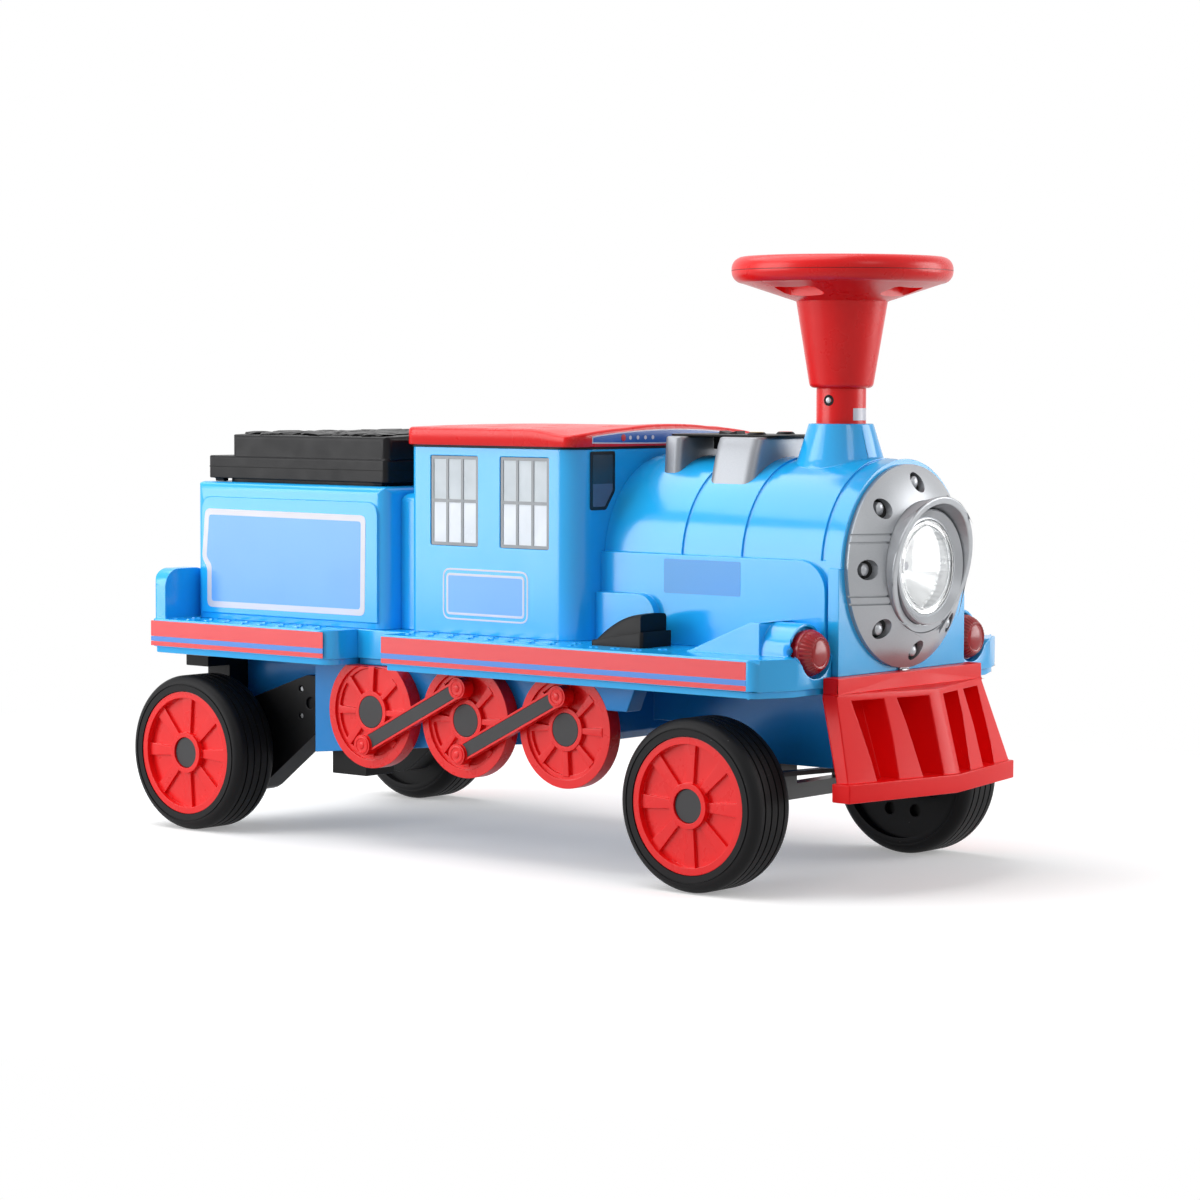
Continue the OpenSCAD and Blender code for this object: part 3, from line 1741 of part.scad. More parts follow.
module speaker() {
    color(coal_black)
        translate([cab_front_x + 135, 0, deck_z]) {
            cylinder(r = 33, h = 5);
            translate([0, 0, 4])
                cylinder(r1 = 30, r2 = 18, h = 12);
            translate([0, 0, 15])
                cylinder(r = 16, h = 10);
        }
}

front_deck();
rear_deck();
lower_chassis();
tender_shell();
link_box();
cab_shell();
boiler_shell();
roof_seat();
roof_seal();
window_inserts();
smokebox_door();
lamp_hood();
lamp_reflector();
lamp_lens();
lamp_led();
console_pods();
control_panel();
buffer_lamps();
cowcatcher();
front_axle_beam();
rear_axle();
gearbox_right();
gearbox_left();
drive_motors();
underside_block();
driving_wheels_right();
driving_wheels_left();
driving_wheel_caps();
coupling_rods();
rod_inlays();
pedal_base();
battery();
control_board();
speaker();
steering_bushes();
lid_hinge_pins();
tender_lid();
steering_wheel();
steering_column();
steering_shaft();
knuckle_right();
knuckle_left();
tie_rod();
front_tyre_right();
front_hub_right();
front_cap_right();
front_tyre_left();
front_hub_left();
front_cap_left();
rear_tyre_right();
rear_hub_right();
rear_cap_right();
rear_tyre_left();
rear_hub_left();
rear_cap_left();
pedal();
horn_button();
music_button();
direction_switch();
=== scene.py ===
import json
import math
import bmesh
import bpy
from mathutils import Matrix, Vector

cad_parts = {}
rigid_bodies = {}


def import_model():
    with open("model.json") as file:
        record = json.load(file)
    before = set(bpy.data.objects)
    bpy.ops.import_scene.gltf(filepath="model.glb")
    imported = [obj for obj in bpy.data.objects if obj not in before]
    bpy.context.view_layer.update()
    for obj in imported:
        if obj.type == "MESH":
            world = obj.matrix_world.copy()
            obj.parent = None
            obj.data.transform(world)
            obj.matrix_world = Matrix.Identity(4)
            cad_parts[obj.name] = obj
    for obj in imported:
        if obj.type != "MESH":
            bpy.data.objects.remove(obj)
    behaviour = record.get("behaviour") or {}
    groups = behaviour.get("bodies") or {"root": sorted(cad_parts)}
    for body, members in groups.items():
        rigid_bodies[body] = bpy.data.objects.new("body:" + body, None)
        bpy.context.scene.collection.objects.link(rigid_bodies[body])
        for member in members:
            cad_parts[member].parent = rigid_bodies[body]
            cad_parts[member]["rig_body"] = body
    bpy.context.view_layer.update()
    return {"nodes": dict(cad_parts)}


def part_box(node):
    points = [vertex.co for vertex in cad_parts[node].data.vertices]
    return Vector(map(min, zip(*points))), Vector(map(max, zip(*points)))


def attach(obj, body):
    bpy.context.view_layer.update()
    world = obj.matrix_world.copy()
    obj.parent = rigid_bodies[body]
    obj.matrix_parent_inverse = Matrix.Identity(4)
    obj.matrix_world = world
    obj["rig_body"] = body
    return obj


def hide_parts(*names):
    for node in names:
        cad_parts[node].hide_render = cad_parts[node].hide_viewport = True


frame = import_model()
nodes = frame["nodes"]
scene = bpy.context.scene
scene.view_settings.view_transform = "Standard"
mm = 0.001

# camera where the photograph was taken: to the right of the nose, a little above the boiler
shot = {"turn": 39.713, "pitch": 3.804, "roll": 0.176, "lens": 100.51, "sensor": 36, "reach": 60,
        "place": (2.0786, -2.4767, 0.4511)}
turn, pitch, roll = (math.radians(shot[k]) for k in ("turn", "pitch", "roll"))
ahead = Vector((-math.sin(turn) * math.cos(pitch), math.cos(turn) * math.cos(pitch), -math.sin(pitch)))
level = Vector((math.cos(turn), math.sin(turn), 0))
upright = level.cross(ahead)
across = math.cos(roll) * level + math.sin(roll) * upright
above = math.cos(roll) * upright - math.sin(roll) * level
eye = bpy.data.objects.new("eye", bpy.data.cameras.new("eye"))
eye.data.lens = shot["lens"]
eye.data.sensor_width = shot["sensor"]
eye.data.clip_end = shot["reach"]
eye.matrix_world = Matrix((across, above, -ahead)).transposed().to_4x4()
eye.matrix_world.translation = shot["place"]
scene.collection.objects.link(eye)
scene.camera = eye
print("camera set")


def linear(colour):
    parts = [int(colour[i:i + 2], 16) / 255 for i in (1, 3, 5)]
    return [p / 12.92 if p <= 0.04045 else ((p + 0.055) / 1.055) ** 2.4 for p in parts] + [1]


# adds one node, sets its options, and sets or links its inputs
def put(tree, kind, inputs=None, **options):
    made = tree.nodes.new(kind)
    for key, value in options.items():
        setattr(made, key, value)
    for key, value in (inputs or {}).items():
        if isinstance(value, bpy.types.NodeSocket):
            tree.links.new(value, made.inputs[key])
        else:
            made.inputs[key].default_value = value
    return made


def newMaterial(name):
    material = bpy.data.materials.new(name)
    material.use_nodes = True
    tree = material.node_tree
    tree.nodes.clear()
    where = put(tree, "ShaderNodeTexCoord").outputs["Object"]
    return material, tree, where


def closeMaterial(tree, shader):
    put(tree, "ShaderNodeOutputMaterial", {"Surface": shader.outputs[0]})


# a noise, a colour mix, a remapped value and a shallow bump, with pattern sizes in real millimetres
def noise(tree, where, sizeMm, detail, rough=0.5):
    values = {"Vector": where, "Scale": 1 / (sizeMm * mm), "Detail": detail, "Roughness": rough}
    return put(tree, "ShaderNodeTexNoise", values).outputs["Fac"]


def mixColour(tree, factor, one, two):
    return put(tree, "ShaderNodeMix", {"Factor": factor, "A": one, "B": two}, data_type="RGBA").outputs["Result"]


def between(tree, value, low, high, start=0.0, end=1.0):
    values = {"Value": value, "From Min": start, "From Max": end, "To Min": low, "To Max": high}
    return put(tree, "ShaderNodeMapRange", values).outputs["Result"]


def bumped(tree, height, strength, deepMm):
    values = {"Height": height, "Strength": strength, "Distance": deepMm * mm}
    return put(tree, "ShaderNodeBump", values).outputs["Normal"]


def maths(tree, operation, one, two):
    return put(tree, "ShaderNodeMath", {0: one, 1: two}, operation=operation).outputs[0]


def skinned(material, tree, inputs):
    closeMaterial(tree, put(tree, "ShaderNodeBsdfPrincipled", inputs))
    return material


# injection-moulded plastic: an even skin with slow flow shading, a little haze and a faint orange peel
mould = {"flowMm": 90, "hazeMm": 22, "hazeRange": (0.3, 0.7), "peelDeepMm": 0.1, "ior": 1.53}


def mouldedPlastic(name, colour, shade, rough, peelMm=2.5, peel=0.03, haze=0.05, shine=0.5):
    material, tree, where = newMaterial(name)
    flow = noise(tree, where, mould["flowMm"], detail=3)
    haziness = noise(tree, where, mould["hazeMm"], detail=4)
    skin = noise(tree, where, peelMm, detail=1)
    return skinned(material, tree, {
        "Base Color": mixColour(tree, flow, linear(colour), linear(shade)),
        "Roughness": between(tree, haziness, rough, rough + haze, *mould["hazeRange"]),
        "Normal": bumped(tree, skin, peel, mould["peelDeepMm"]), "IOR": mould["ior"], "Specular IOR Level": shine})


# the blue shell is polished, the red a little softer, the black mouldings carry a spark-eroded grain
blueAbs = mouldedPlastic("blueAbs", "#22B2F6", "#1EACF0", 0.13)
redAbs = mouldedPlastic("redAbs", "#EA1013", "#E00E11", 0.26, shine=0.3)
# the grille is duller than the other reds; the tub under the boards is a deeper blue than the shell, which is painted
# shade for the shadow under the boards
redGrille = mouldedPlastic("redAbsGrille", "#F21216", "#E81013", 0.28, shine=0.14)
tubBlueShaded = mouldedPlastic("blueAbsTubShaded", "#1884CE", "#167CC4", 0.2, shine=0.25)
blackPp = mouldedPlastic("blackPolypropylene", "#131314", "#0E0E0F", 0.36, peelMm=0.9, peel=0.16, shine=0.12)
coalPp = mouldedPlastic("lidPolypropylene", "#19191B", "#131315", 0.3, peelMm=1.0, peel=0.12, haze=0.12, shine=0.14)
greyVinyl = mouldedPlastic("capGreyVinyl", "#333335", "#2C2C2E", 0.42, peelMm=0.8, peel=0.12, shine=0.25)
yellowAbs = mouldedPlastic("yellowAbs", "#E9C12D", "#E2B822", 0.25)
bushNylon = mouldedPlastic("bushNylon", "#E5E2D8", "#DCD8CC", 0.45)
boardGreen = mouldedPlastic("boardEpoxy", "#2F6B45", "#28603C", 0.4)
seamRed = mouldedPlastic("seamShadeRed", "#8A0C0F", "#7D0A0D", 0.45, shine=0.3)
# near-black: painted shade in the door's bolt pockets and round the column screw, and the real black of the lid's
# parting line and the wheel backings
blackAndPaintedShade = mouldedPlastic("recessShadeBlack", "#0A0A0B", "#070707", 0.6, shine=0.2)


# blow-moulded tyre: matt black, with a fine pitted grain and a few pale dust specks caught in it
def tyrePlastic():
    material, tree, where = newMaterial("tyrePlastic")
    grain = noise(tree, where, sizeMm=1.1, detail=4, rough=0.65)
    patches = noise(tree, where, sizeMm=26, detail=2)
    dust = put(tree, "ShaderNodeTexVoronoi", {"Vector": where, "Scale": 1 / (6.5 * mm), "Randomness": 1.0})
    specks = between(tree, dust.outputs["Distance"], 1, 0, start=0.05, end=0.085)
    some = between(tree, patches, 0, 1, start=0.55, end=0.65)
    share = maths(tree, "MULTIPLY", specks, some)
    base = mixColour(tree, patches, linear("#0F0F10"), linear("#161618"))
    return skinned(material, tree, {
        "Base Color": mixColour(tree, share, base, linear("#5C5C5E")), "Roughness": between(tree, grain, 0.42, 0.62),
        "Normal": bumped(tree, grain, strength=0.25, deepMm=0.15), "IOR": 1.5, "Specular IOR Level": 0.15})


# silver lacquer over plastic: satin, with flakes that sparkle; the flakes are drawn coarse so that they show
def silverLacquer(name, colour, rough=0.34, flakeMm=0.45):
    material, tree, where = newMaterial(name)
    flakes = put(tree, "ShaderNodeTexVoronoi", {"Vector": where, "Scale": 1 / (flakeMm * mm)})
    cells = put(tree, "ShaderNodeSeparateColor", {"Color": flakes.outputs["Color"]}).outputs
    tint = put(tree, "ShaderNodeVectorMath", {0: linear(colour)[:3], "Scale": between(tree, cells[0], 0.95, 1.04)},
               operation="SCALE")
    return skinned(material, tree, {
        "Base Color": tint.outputs[0], "Roughness": between(tree, cells[1], rough - 0.02, rough + 0.04),
        "Normal": bumped(tree, cells[2], strength=0.02, deepMm=0.05), "Metallic": 0.5})


# turned and stamped steel under the body, painted or bare, with fine draw lines along X
def drawnSteel(name, dark, pale, metal):
    material, tree, where = newMaterial(name)
    drawn = put(tree, "ShaderNodeMapping", {"Vector": where, "Scale": (40, 900, 900)}).outputs["Vector"]
    lines = put(tree, "ShaderNodeTexNoise", {"Vector": drawn, "Scale": 1.0, "Detail": 3.0}).outputs["Fac"]
    return skinned(material, tree, {
        "Base Color": mixColour(tree, lines, linear(dark), linear(pale)), "Roughness": between(tree, lines, 0.26, 0.44),
        "Metallic": metal})


# vacuum-metallised reflector: near mirror, faintly rippled
def mirrorCoat():
    material, tree, where = newMaterial("metallisedPlastic")
    ripple = noise(tree, where, sizeMm=7, detail=1)
    return skinned(material, tree, {
        "Base Color": linear("#F2F3F4"), "Roughness": between(tree, ripple, 0.24, 0.34), "Metallic": 1.0,
        "Normal": bumped(tree, ripple, strength=0.12, deepMm=0.4)})


# clear or tinted polycarbonate lens: thin, bright, with faint moulding ripples
def lensPlastic(name, colour, rough, through):
    material, tree, where = newMaterial(name)
    ripple = noise(tree, where, sizeMm=5, detail=1)
    return skinned(material, tree, {
        "Base Color": linear(colour), "Roughness": between(tree, ripple, rough, rough + 0.06),
        "Normal": bumped(tree, ripple, strength=0.05, deepMm=0.2), "Transmission Weight": through, "IOR": 1.45})


# printed vinyl: flat ink with a faint dot grain under a clear film, slowly drifting in shade
def printedVinyl(name, colour, shade, rough=0.2, driftMm=45, dotMm=0.8):
    material, tree, where = newMaterial(name)
    dots = put(tree, "ShaderNodeTexVoronoi", {"Vector": where, "Scale": 1 / (dotMm * mm), "Randomness": 0.2})
    drift = noise(tree, where, driftMm, detail=2)
    grain = between(tree, dots.outputs["Distance"], 0.85, 1.1)
    ink = maths(tree, "MULTIPLY", grain, drift)
    return skinned(material, tree, {
        "Base Color": mixColour(tree, ink, linear(colour), linear(shade)),
        "Roughness": between(tree, drift, rough, rough + 0.1),
        "Normal": bumped(tree, drift, strength=0.05, deepMm=0.4), "IOR": 1.49})


tyreBlack = tyrePlastic()
silver = silverLacquer("silverLacquer", "#AEB1B5")
# the pods' silver is a darker, rougher copy of the same lacquer: painted shade on the pods
silverPodShaded = silverLacquer("silverLacquerPodShaded", "#8F9297", rough=0.4)
steel = drawnSteel("drawnSteel", "#8C8E91", "#A6A8AB", 1.0)
paintedSteel = drawnSteel("blackPaintedSteel", "#17181A", "#222326", 0.0)
mirror = mirrorCoat()
clearLens = lensPlastic("clearPolycarbonate", "#FBFCFC", 0.02, 1.0)
redLens = lensPlastic("redPolycarbonate", "#B81018", 0.14, 0.3)
stripeRed = printedVinyl("stripeRedVinyl", "#E63840", "#DE3239")
lineBlue = printedVinyl("lineBlueVinyl", "#3F86DC", "#3A7FD4")
plateBlue = printedVinyl("plateBlueVinyl", "#549CE8", "#6FB0F0", driftMm=120)
numberBlue = printedVinyl("numberBlueVinyl", "#318FD3", "#3E9ADC", driftMm=120)
plateWhite = printedVinyl("plateWhiteVinyl", "#D2D2DA", "#C6C6CE")
bandBlue = printedVinyl("bandBlueVinyl", "#1F5FAE", "#1A55A0")
dotRed = printedVinyl("dotRedVinyl", "#C4222A", "#B61C23")
paneWhite = printedVinyl("paneWhiteVinyl", "#E3E8EE", "#C9D0D8", driftMm=24)
paneGrey = printedVinyl("paneGreyVinyl", "#C4CDD3", "#A3ADB4", driftMm=24)
barGrey = printedVinyl("barGreyVinyl", "#84898D", "#767B80")
paneDark = printedVinyl("paneDarkVinyl", "#34454F", "#2D3D47")
paneMid = printedVinyl("paneMidVinyl", "#5D6D85", "#55647C")
frameBlack = printedVinyl("frameBlackVinyl", "#141519", "#101114")
print("materials made")

# floor: a soft shadow near the train, plain white paper beyond it
studio = {"half": 40, "drop": -0.0005, "paper": "#E6E6E6", "bounce": "#ABABAB", "white": (1, 1, 1, 1),
          "stretch": (0.8, 1.15, 1), "shadowNear": 0.62, "shadowFar": 1.25, "soft": 0.3, "lift": 0.3}


# the backdrop is white to the eye, in gloss and through clear plastic, and lights nothing more by it
def seenRays(tree):
    path = put(tree, "ShaderNodeLightPath").outputs
    some = maths(tree, "MAXIMUM", path["Is Camera Ray"], path["Is Glossy Ray"])
    return maths(tree, "MAXIMUM", some, path["Is Transmission Ray"])


floorMesh = bpy.data.meshes.new("floor")
half = studio["half"]
floorMesh.from_pydata([(-half, -half, 0), (half, -half, 0), (half, half, 0), (-half, half, 0)], [], [(0, 1, 2, 3)])
floor = bpy.data.objects.new("floor", floorMesh)
floor.location.z = studio["drop"]
scene.collection.objects.link(floor)
paper, tree, where = newMaterial("whitePaper")
stretch = put(tree, "ShaderNodeMapping", {"Vector": where, "Scale": studio["stretch"]})
away = put(tree, "ShaderNodeVectorMath", {0: stretch.outputs[0]}, operation="LENGTH")
reach = {"Value": away.outputs["Value"], "From Min": studio["shadowNear"], "From Max": studio["shadowFar"]}
fade = put(tree, "ShaderNodeMapRange", reach, interpolation_type="SMOOTHSTEP")
diffuse = put(tree, "ShaderNodeBsdfDiffuse", {"Color": linear(studio["paper"])})
bounce = put(tree, "ShaderNodeBsdfDiffuse", {"Color": linear(studio["bounce"])})
glow = put(tree, "ShaderNodeEmission", {"Color": studio["white"], "Strength": studio["lift"]})
white = put(tree, "ShaderNodeEmission", {"Color": studio["white"], "Strength": 1.0})
lit = put(tree, "ShaderNodeAddShader", {0: diffuse.outputs[0], 1: glow.outputs[0]})
shown = put(tree, "ShaderNodeMixShader", {0: fade.outputs["Result"], 1: lit.outputs[0], 2: white.outputs[0]})
both = {0: seenRays(tree), 1: bounce.outputs[0], 2: shown.outputs[0]}
closeMaterial(tree, put(tree, "ShaderNodeMixShader", both))
floorMesh.materials.append(paper)

world = bpy.data.worlds.new("studio")
world.use_nodes = True
scene.world = world
tree = world.node_tree
tree.nodes.clear()
soft = put(tree, "ShaderNodeBackground", {"Color": studio["white"], "Strength": studio["soft"]})
white = put(tree, "ShaderNodeBackground", {"Color": studio["white"], "Strength": 1.0})
mixed = put(tree, "ShaderNodeMixShader", {0: seenRays(tree), 1: soft.outputs[0], 2: white.outputs[0]})
put(tree, "ShaderNodeOutputWorld", {"Surface": mixed.outputs[0]})

# big soft boxes that reach the floor: the key shines back off the right side, the second off the front faces
lamps = {
    "keyBox": {"place": (-1.95, -2.6, 1.15), "aim": (0, -0.1, 0.95), "size": (2.4, 2.3), "watts": 84},
    "frontBox": {"place": (2.5, 2.4, 1.1), "aim": (0.2, 0, 0.9), "size": (2.0, 2.2), "watts": 70},
    "noseBox": {"place": (3.3, -1.3, 2.3), "aim": (0.2, 0, 0.28), "size": (1.2, 1.2), "watts": 12},
    "topBox": {"place": (-0.9, -0.4, 2.9), "aim": (0, 0, 0.3), "size": (3.2, 2.8), "watts": 82},
}
for name, box in lamps.items():
    light = bpy.data.lights.new(name, "AREA")
    light.shape = "RECTANGLE"
    light.size, light.size_y = box["size"]
    light.energy = box["watts"]
    holder = bpy.data.objects.new(name, light)
    holder.location = box["place"]
    holder.rotation_euler = (Vector(box["aim"]) - holder.location).to_track_quat("-Z", "Y").to_euler()
    scene.collection.objects.link(holder)
print("floor and light set")


def addPiece(name, mesh, body):
    piece = bpy.data.objects.new(name, mesh)
    scene.collection.objects.link(piece)
    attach(piece, body)
    return piece


# turns a drawing into a mesh; with a crease it is shaded smooth up to that many degrees
def meshOf(bm, name, crease=None, openSmooth=False):
    if crease:
        for f in bm.faces:
            f.smooth = True
        for e in bm.edges:
            e.smooth = e.calc_face_angle(0) < math.radians(crease) if len(e.link_faces) == 2 else openSmooth
    mesh = bpy.data.meshes.new(name)
    bm.to_mesh(mesh)
    bm.free()
    return mesh


# turns a drawing into a piece: doubles merged, faces outward
def finishPiece(bm, name, materials, body, crease=40):
    bmesh.ops.remove_doubles(bm, verts=bm.verts, dist=1e-6)
    bmesh.ops.recalc_face_normals(bm, faces=bm.faces)
    mesh = meshOf(bm, name, crease)
    for material in materials:
        mesh.materials.append(material)
    return addPiece(name, mesh, body)


# a moulding with its edges eased: the solid's own shape, with rounded edges and even shading
easing = {"least": 28, "flat": 0.6, "steps": 2, "crease": 44}


def easedPiece(nodeName, pieceName, material, edge, rounds, merge):
    bm = bmesh.new()
    bm.from_mesh(nodes[nodeName].data)
    bmesh.ops.remove_doubles(bm, verts=bm.verts, dist=2e-5)
    bmesh.ops.dissolve_degenerate(bm, dist=1e-6, edges=bm.edges)
    if merge:
        bmesh.ops.dissolve_limit(bm, angle_limit=math.radians(easing["flat"]), verts=bm.verts, edges=bm.edges)
    for test, width, steps in rounds + [(None, edge, easing["steps"])]:
        if width <= 0:
            continue
        picked = []
        for e in bm.edges:
            if len(e.link_faces) == 2 and e.calc_face_angle(0) > math.radians(easing["least"]):
                middle = (e.verts[0].co + e.verts[1].co) / (2 * mm)
                along = (e.verts[1].co - e.verts[0].co).normalized()
                if test is None or (e.is_convex and test(middle, along)):
                    picked.append(e)
        if picked:
            bmesh.ops.bevel(bm, geom=picked, offset=width * mm, offset_type="OFFSET", segments=steps,
                            profile=0.5, affect="EDGES", clamp_overlap=False)
    mesh = meshOf(bm, pieceName, easing["crease"], openSmooth=True)
    mesh.materials.clear()
    mesh.materials.append(material)
    piece = addPiece(pieceName, mesh, nodes[nodeName]["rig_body"])
    even = piece.modifiers.new("evenShade", "WEIGHTED_NORMAL")
    even.keep_sharp = True
    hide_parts(nodeName)


# each point of a closed outline between the one before and the one after
def neighbours(points):
    ring = [Vector(point) for point in points]
    return zip(ring[-1:] + ring[:-1], ring, ring[1:] + ring[:1])


# rounds the corners of a closed outline with a short curve
def rounded(points, radius, steps=5):
    out = []
    for before, here, after in neighbours(points):
        reach = min(radius, (before - here).length * 0.45, (after - here).length * 0.45)
        start = here + (before - here).normalized() * reach
        end = here + (after - here).normalized() * reach
        for i in range(steps + 1):
            t = i / steps
            out.append(tuple(start * (1 - t) ** 2 + here * (2 * t * (1 - t)) + end * t ** 2))
    return out


# moves a counter-clockwise outline inwards by a set distance
def inset(points, distance):
    out = []
    for before, here, after in neighbours(points):
        one, two = (here - before).normalized(), (after - here).normalized()
        lean = Vector((-one.y, one.x)) + Vector((-two.y, two.x))
        out.append(tuple(here + lean * (2 * distance / lean.length_squared)))
    return out


def rectangle(u0, u1, v0, v1):
    return [(u0, v0), (u1, v0), (u1, v1), (u0, v1)]


def circleOf(radius, steps):
    turns = [2 * math.pi * i / steps for i in range(steps)]
    return [(radius * math.cos(a), radius * math.sin(a)) for a in turns]


def vertsAt(bm, coords, unit=mm):
    return [bm.verts.new(Vector(c) * unit) for c in coords]


# faces between each ring of points and the next
def joinRings(bm, rings):
    for low, high in zip(rings, rings[1:]):
        for i in range(len(low)):
            j = (i + 1) % len(low)
            bm.faces.new((low[i], low[j], high[j], high[i]))


# a form through rows of points, closed at both ends
def addLoft(bm, rows, unit=mm):
    rings = [vertsAt(bm, row, unit) for row in rows]
    joinRings(bm, rings)
    bm.faces.new(rings[0])
    bm.faces.new(rings[-1])


# a hoop, whose last row of points meets its first
def addHoop(bm, rows):
    rings = [vertsAt(bm, row) for row in rows]
    joinRings(bm, rings + rings[:1])


# a thin stuck-on sheet between two lifts above a surface; hole makes it a frame
def addSheet(bm, place, outline, low, high, hole=None, index=0):
    before = len(bm.faces)
    sheets = [[vertsAt(bm, [place(u, v, lift) for u, v in loop]) for lift in (low, high)]
              for loop in ([outline, hole] if hole else [outline])]
    for level in (0, 1):
        if hole:
            joinRings(bm, [sheets[0][level], sheets[1][level]])
        else:
            bm.faces.new(sheets[0][level])
    for sheet in sheets:
        joinRings(bm, sheet)
    bm.faces.ensure_lookup_table()
    for f in bm.faces[before:]:
        f.material_index = index


# a thin sheet bent over a curved face, drawn as strips between its lower and upper edge
def addStrip(bm, place, outline, low, high):
    front, back = (vertsAt(bm, [place(u, v, lift) for u, v in outline]) for lift in (high, low))
    for i in range(len(outline) // 2 - 1):
        for row in (front, back):
            bm.faces.new((row[i], row[i + 1], row[-2 - i], row[-1 - i]))
    joinRings(bm, [front, back])


# a turned form: (radius, height) profile round an axis, with an optional ripple of ribs on some of its points
def addLathe(bm, place, profile, steps, ribs=0, ribDepth=0.0, ribbed=()):
    rows = []
    for k, (r, h) in enumerate(profile):
        if r <= 1e-6:
            rows.append(vertsAt(bm, [place(0, 0, h)]) * steps)
            continue
        turns = [2 * math.pi * i / steps for i in range(steps)]
        radii = [r + (ribDepth * math.cos(ribs * a) if k in ribbed else 0) for a in turns]
        rows.append(vertsAt(bm, [place(rr * math.cos(a), rr * math.sin(a), h) for rr, a in zip(radii, turns)]))
    for low, high in zip(rows, rows[1:]):
        for i in range(steps):
            j = (i + 1) % steps
            corners = list(dict.fromkeys((low[i], low[j], high[j], high[i])))
            if len(corners) > 2:
                bm.faces.new(corners)


# a piece turned from one or more profiles
def turnedPiece(name, place, profiles, material, body, slot, steps, crease=40, **ribbing):
    bm = bmesh.new()
    for profile in profiles:
        addLathe(bm, place, profile, steps, **ribbing)
    return finishPiece(bm, name, [material], body, crease)


# both long sides of the train: u runs along X, v along Z, lift outwards
def onSide(side, y):
    return lambda u, v, lift: (u, side * (y + lift), v)


# a cluster of one small shape set on points, made with geometry nodes and turned into a plain mesh
def stampTree():
    tree = bpy.data.node_groups.new("stampOnPoints", "GeometryNodeTree")
    for name, kind in (("Points", "Geometry"), ("Stamp", "Object"), ("Material", "Material"), ("Size", "Float"),
                       ("Size Spread", "Float"), ("Turn Spread", "Float"), ("Flatness", "Float"), ("Seed", "Int"),
                       ("Facing", "Vector")):
        tree.interface.new_socket(name, in_out="INPUT", socket_type="NodeSocket" + kind)
    tree.interface.new_socket("Mesh", in_out="OUTPUT", socket_type="NodeSocketGeometry")
    given = put(tree, "NodeGroupInput").outputs
    shape = put(tree, "GeometryNodeObjectInfo", {"Object": given["Stamp"]})
    less = maths(tree, "SUBTRACT", 1.0, given["Size Spread"])
    more = maths(tree, "ADD", 1.0, given["Size Spread"])
    share = put(tree, "FunctionNodeRandomValue", {2: less, 3: more, "Seed": given["Seed"]}, data_type="FLOAT")
    width = maths(tree, "MULTIPLY", share.outputs[1], given["Size"])
    height = maths(tree, "MULTIPLY", width, given["Flatness"])
    scale = put(tree, "ShaderNodeCombineXYZ", {0: width, 1: width, 2: height})
    swing = put(tree, "FunctionNodeRandomValue", {2: 0.0, 3: given["Turn Spread"], "Seed": given["Seed"]},
                data_type="FLOAT")
    spun = put(tree, "ShaderNodeCombineXYZ", {2: swing.outputs[1]})
    turned = put(tree, "ShaderNodeVectorMath", {0: spun.outputs[0], 1: given["Facing"]}, operation="ADD")
    stamped = put(tree, "GeometryNodeInstanceOnPoints", {
        "Points": given["Points"], "Instance": shape.outputs["Geometry"], "Rotation": turned.outputs[0],
        "Scale": scale.outputs[0]})
    real = put(tree, "GeometryNodeRealizeInstances", {"Geometry": stamped.outputs[0]})
    painted = put(tree, "GeometryNodeSetMaterial", {"Geometry": real.outputs[0], "Material": given["Material"]})
    put(tree, "NodeGroupOutput", {"Mesh": painted.outputs[0]})
    return tree


stamping = stampTree()


def stampPiece(name, points, stamp, material, body, size, sizeSpread=0.0, turnSpread=0.0, flatness=1.0,
               seed=1, facing=(0, 0, 0)):
    spots = bpy.data.meshes.new(name + "Spots")
    spots.from_pydata([tuple(c * mm for c in p) for p in points], [], [])
    holder = bpy.data.objects.new(name + "Spots", spots)
    scene.collection.objects.link(holder)
    stampHolder = bpy.data.objects.new(name + "Stamp", stamp)
    scene.collection.objects.link(stampHolder)
    modifier = holder.modifiers.new("stamping", "NODES")
    modifier.node_group = stamping
    values = {"Stamp": stampHolder, "Material": material, "Size": size, "Size Spread": sizeSpread,
              "Turn Spread": turnSpread, "Flatness": flatness, "Seed": seed, "Facing": facing}
    for socket in stamping.interface.items_tree:
        if socket.name in values:
            modifier[socket.identifier] = values[socket.name]
    view = bpy.context.evaluated_depsgraph_get()
    mesh = bpy.data.meshes.new_from_object(holder.evaluated_get(view), depsgraph=view)
    mesh.name = name
    bpy.data.objects.remove(holder)
    bpy.data.objects.remove(stampHolder)
    return addPiece(name, mesh, body)


def stampOf(bm, name):
    bmesh.ops.recalc_face_normals(bm, faces=bm.faces)
    return meshOf(bm, name)


# the boiler's axis and front face, which the lamp and the door share
boiler = {"axisZ": 283.5, "faceX": 374.6}

